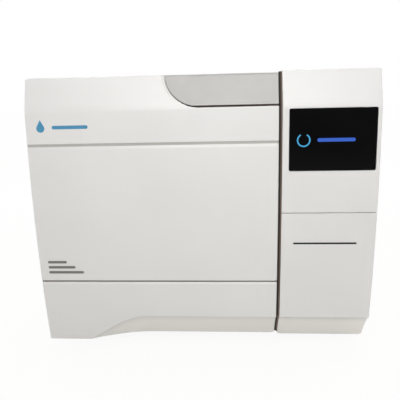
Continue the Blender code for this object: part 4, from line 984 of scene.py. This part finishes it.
def make_screw(name, place, direction):
    """Pan head with a cross recess, standing on a surface."""
    bm = bmesh.new()
    head = 3.6 * MM
    profile = [(head, 0.0), (head, 0.6 * MM), (head * 0.86, 1.4 * MM), (head * 0.5, 1.9 * MM)]
    steps = 24
    turns = [math.tau * i / steps for i in range(steps)]
    skin(bm, [[bm.verts.new((r * math.cos(t), r * math.sin(t), h)) for t in turns] for r, h in profile])
    screw = new_object(name, mesh_from(name, bm), mat=ZINC)
    arm, width = 2.2 * MM, 0.45 * MM
    cross = []
    for a, b in ((arm, width), (width, arm)):
        cross.append(cutter(box_mesh("cross", (-a, -b, 0.9 * MM), (a, b, 4 * MM))))
    apply_booleans(screw, cross)
    smooth(screw.data, 30)
    turn = Vector(direction).to_track_quat("Z", "Y").to_matrix().to_4x4()
    screw.matrix_world = Matrix.Translation(place) @ turn
    attach(screw, "chassis")


def make_lid():
    """Soft-edged cap over the filling hole, with a finger scoop at its front."""
    low, high = LID_LOW, LID_HIGH
    outline = rounded_rect(low.x, high.x, low.y, high.y, 6 * MM, 8)
    lid = new_object("lid_cap", outline_mesh("lid_cap", outline, low.z, high.z, "Z"), mat=WHITE)
    recess = rounded_rect(low.x + 3 * MM, high.x - 3 * MM, low.y + 3 * MM, high.y - 3 * MM, 4 * MM)
    middle = (low.x + high.x) / 2
    scoop = arc((middle, low.y), (16 * MM, 9 * MM), 0, 345, 23)
    apply_booleans(lid, [
        cutter(outline_mesh("recess", recess, low.z - 1 * MM, low.z + 2.2 * MM, "Z")),
        cutter(outline_mesh("scoop", scoop, high.z - 1.5 * MM, high.z + 1 * MM, "Z")),
    ])
    smooth(lid.data, 30)
    bevel(lid, 0.7 * MM, 3, 40)
    attach(lid, "lid", "fill_lid")


def make_rear_screws():
    """Screws round the rear panel and at the corners of the fan guard."""
    low, high = PANEL_LOW, PANEL_HIGH
    inset, fan_inset = 9 * MM, 7 * MM
    y = high.y
    columns = (low.x + inset, 0.0, high.x - inset)
    for i, x in enumerate(columns):
        for j, z in enumerate((low.z + inset, high.z - inset)):
            make_screw(f"rear_screw_{i}_{j}", (x, y, z), (0, 1, 0))
    fan_low, fan_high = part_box("fan_guard")
    for i, x in enumerate((fan_low.x + fan_inset, fan_high.x - fan_inset)):
        for j, z in enumerate((fan_low.z + fan_inset, fan_high.z - fan_inset)):
            make_screw(f"fan_screw_{i}_{j}", (x, y, z), (0, 1, 0))


# ---- finishes for the frame's own pieces --------------------------------------------------
FINISHES = {
    "white_plastic": WHITE, "silver_trim": SILVER, "black_glass": SCREEN, "painted_steel": POWDER,
    "stainless": BRUSHED, "zinc_steel": ZINC, "aluminium": ALUMINIUM, "brass": BRASS,
    "silicone": SILICONE, "rubber": RUBBER, "dark_plastic": DARK, "tank_plastic": TANK,
    "insulation": WOOL, "circuit_board": BOARD, "paper": PAPER, "red_plastic": RED,
}
# Bevel widths in millimetres, by a part of the piece's name.
BEVELS = {
    "foot_": 1.2, "vacuum_pump": 2.0, "water_tank": 3.0, "power_supply": 1.0, "door_yoke": 1.5,
    "printer_body": 1.0, "drain_knob": 1.0, "steam_generator": 1.5, "lock_motor": 1.0,
    "pressure_plate": 0.8, "valve_block": 0.8,
}
FINE_BEVEL = 0.3


def finish_frame_pieces():
    """Gives the frame's pieces their finishes, and softens the edges of those that show."""
    for piece in frame["record"]["subparts"]:
        node = frame["nodes"][piece["node"]]
        finish = FINISHES[piece["material_slot"]]
        node.data.materials.clear()
        node.data.materials.append(finish)
        if node.hide_render:
            continue
        smooth(node.data, 32)
        width = next((size for key, size in BEVELS.items() if key in node.name), FINE_BEVEL)
        weld = node.modifiers.new("weld", "WELD")
        weld.merge_threshold = 0.01 * MM
        bevel(node, width * MM, 2, 40)


# ---- stage, lights and camera -------------------------------------------------------------
def make_stage():
    """A pale bench that brightens to the backdrop's white with distance, and keeps soft contact shadows."""
    bm = bmesh.new()
    bmesh.ops.create_grid(bm, x_segments=8, y_segments=8, size=6.0)
    mesh = mesh_from("floor", bm)
    made, tree, shader = nodes_for("pale_floor")
    broad = noise(tree, 3.0, 3.0)
    dull, bright = (0.90, 0.89, 0.87), (0.93, 0.92, 0.90)
    tree.links.new(two_tone(tree, broad, dull, bright), shader.inputs["Base Color"])
    shader.inputs["Roughness"].default_value = 0.9
    shader.inputs["Emission Color"].default_value = (1, 0.98, 0.94, 1)
    shader.inputs["Emission Strength"].default_value = FLOOR_LIGHT
    coordinates = tree.nodes.new("ShaderNodeTexCoord")
    distance = tree.nodes.new("ShaderNodeVectorMath")
    distance.operation = "LENGTH"
    tree.links.new(coordinates.outputs["Object"], distance.inputs[0])
    share = ramp(tree, distance.outputs["Value"], FLOOR_GLOW, 0.98, 0.35, 0.95)
    path = tree.nodes.new("ShaderNodeLightPath")
    seen = tree.nodes.new("ShaderNodeMath")
    seen.operation = "MULTIPLY"
    tree.links.new(path.outputs["Is Camera Ray"], seen.inputs[0])
    tree.links.new(share, seen.inputs[1])
    glow = tree.nodes.new("ShaderNodeEmission")
    mixed = tree.nodes.new("ShaderNodeMixShader")
    tree.links.new(seen.outputs["Value"], mixed.inputs["Fac"])
    tree.links.new(shader.outputs["BSDF"], mixed.inputs[1])
    tree.links.new(glow.outputs["Emission"], mixed.inputs[2])
    tree.links.new(mixed.outputs["Shader"], tree.nodes["Material Output"].inputs["Surface"])
    floor = new_object("floor", mesh, mat=made)


def area_light(name, place, target, size, power, angle=180):
    """A soft rectangle of light at a place, turned to a target and spread over an angle."""
    light = bpy.data.lights.new(name, "AREA")
    light.shape = "RECTANGLE"
    light.size, light.size_y = size
    light.energy = power
    light.spread = math.radians(angle)
    light.color = (1.0, 0.99, 0.98)
    made = new_object(name, light)
    made.location = place
    made.rotation_euler = (Vector(target) - Vector(place)).to_track_quat("-Z", "Y").to_euler()


def make_lights():
    """A white backdrop, dimmer light from the room in front, and soft lights above and ahead."""
    scene = bpy.context.scene
    scene.view_settings.view_transform = "Standard"
    world = bpy.data.worlds.new("studio")
    scene.world = world
    world.use_nodes = True
    tree = world.node_tree
    ambient = tree.nodes["Background"]
    ambient.inputs["Color"].default_value = (1.0, 0.99, 0.975, 1)
    coordinates = tree.nodes.new("ShaderNodeTexCoord")
    direction = tree.nodes.new("ShaderNodeSeparateXYZ")
    tree.links.new(coordinates.outputs["Generated"], direction.inputs["Vector"])
    strength = ramp(tree, direction.outputs["Y"], AMBIENT, BACKDROP, -0.1, 0.3)
    tree.links.new(strength, ambient.inputs["Strength"])
    backdrop = tree.nodes.new("ShaderNodeBackground")
    backdrop.inputs["Color"].default_value = (1, 1, 1, 1)
    path = tree.nodes.new("ShaderNodeLightPath")
    mixed = tree.nodes.new("ShaderNodeMixShader")
    tree.links.new(path.outputs["Is Camera Ray"], mixed.inputs["Fac"])
    tree.links.new(ambient.outputs["Background"], mixed.inputs[1])
    tree.links.new(backdrop.outputs["Background"], mixed.inputs[2])
    tree.links.new(mixed.outputs["Shader"], tree.nodes["World Output"].inputs["Surface"])
    area_light("wide", (0.0, -1.25, 0.85), (0.0, -0.3, 0.22), (1.6, 1.0), WIDE_POWER)
    area_light("top", (0.1, 0.1, 2.2), (0, 0, 0.3), (2.0, 2.0), TOP_POWER)
    area_light("upper", (0.05, -1.25, 0.95), (0.05, -0.3, 0.52), (0.8, 0.5), UPPER_POWER, UPPER_SPREAD)


def make_camera():
    """Camera at the photograph's place: pitched down, turned a little left, rolled a little."""
    pitch, yaw, roll = (math.radians(angle) for angle in (CAMERA_PITCH, CAMERA_YAW, CAMERA_ROLL))
    forward = Vector((math.sin(yaw) * math.cos(pitch), math.cos(yaw) * math.cos(pitch), -math.sin(pitch)))
    level = Vector((math.cos(yaw), -math.sin(yaw), 0))
    down = forward.cross(level)
    right = math.cos(roll) * level + math.sin(roll) * down
    down = -math.sin(roll) * level + math.cos(roll) * down
    data = bpy.data.cameras.new("camera")
    data.lens = CAMERA_LENS
    data.sensor_width = 36
    camera = new_object("camera", data)
    turn = Matrix((right, -down, -forward)).transposed().to_4x4()
    camera.matrix_world = Matrix.Translation(CAMERA_PLACE) @ turn
    bpy.context.scene.camera = camera


make_door_cover()
make_handle()
make_column_cover()
make_gap_shade_strips()
make_flap()
make_screen()
make_marks()
make_casing()
make_lid()
make_rear_screws()
finish_frame_pieces()
make_stage()
make_lights()
make_camera()
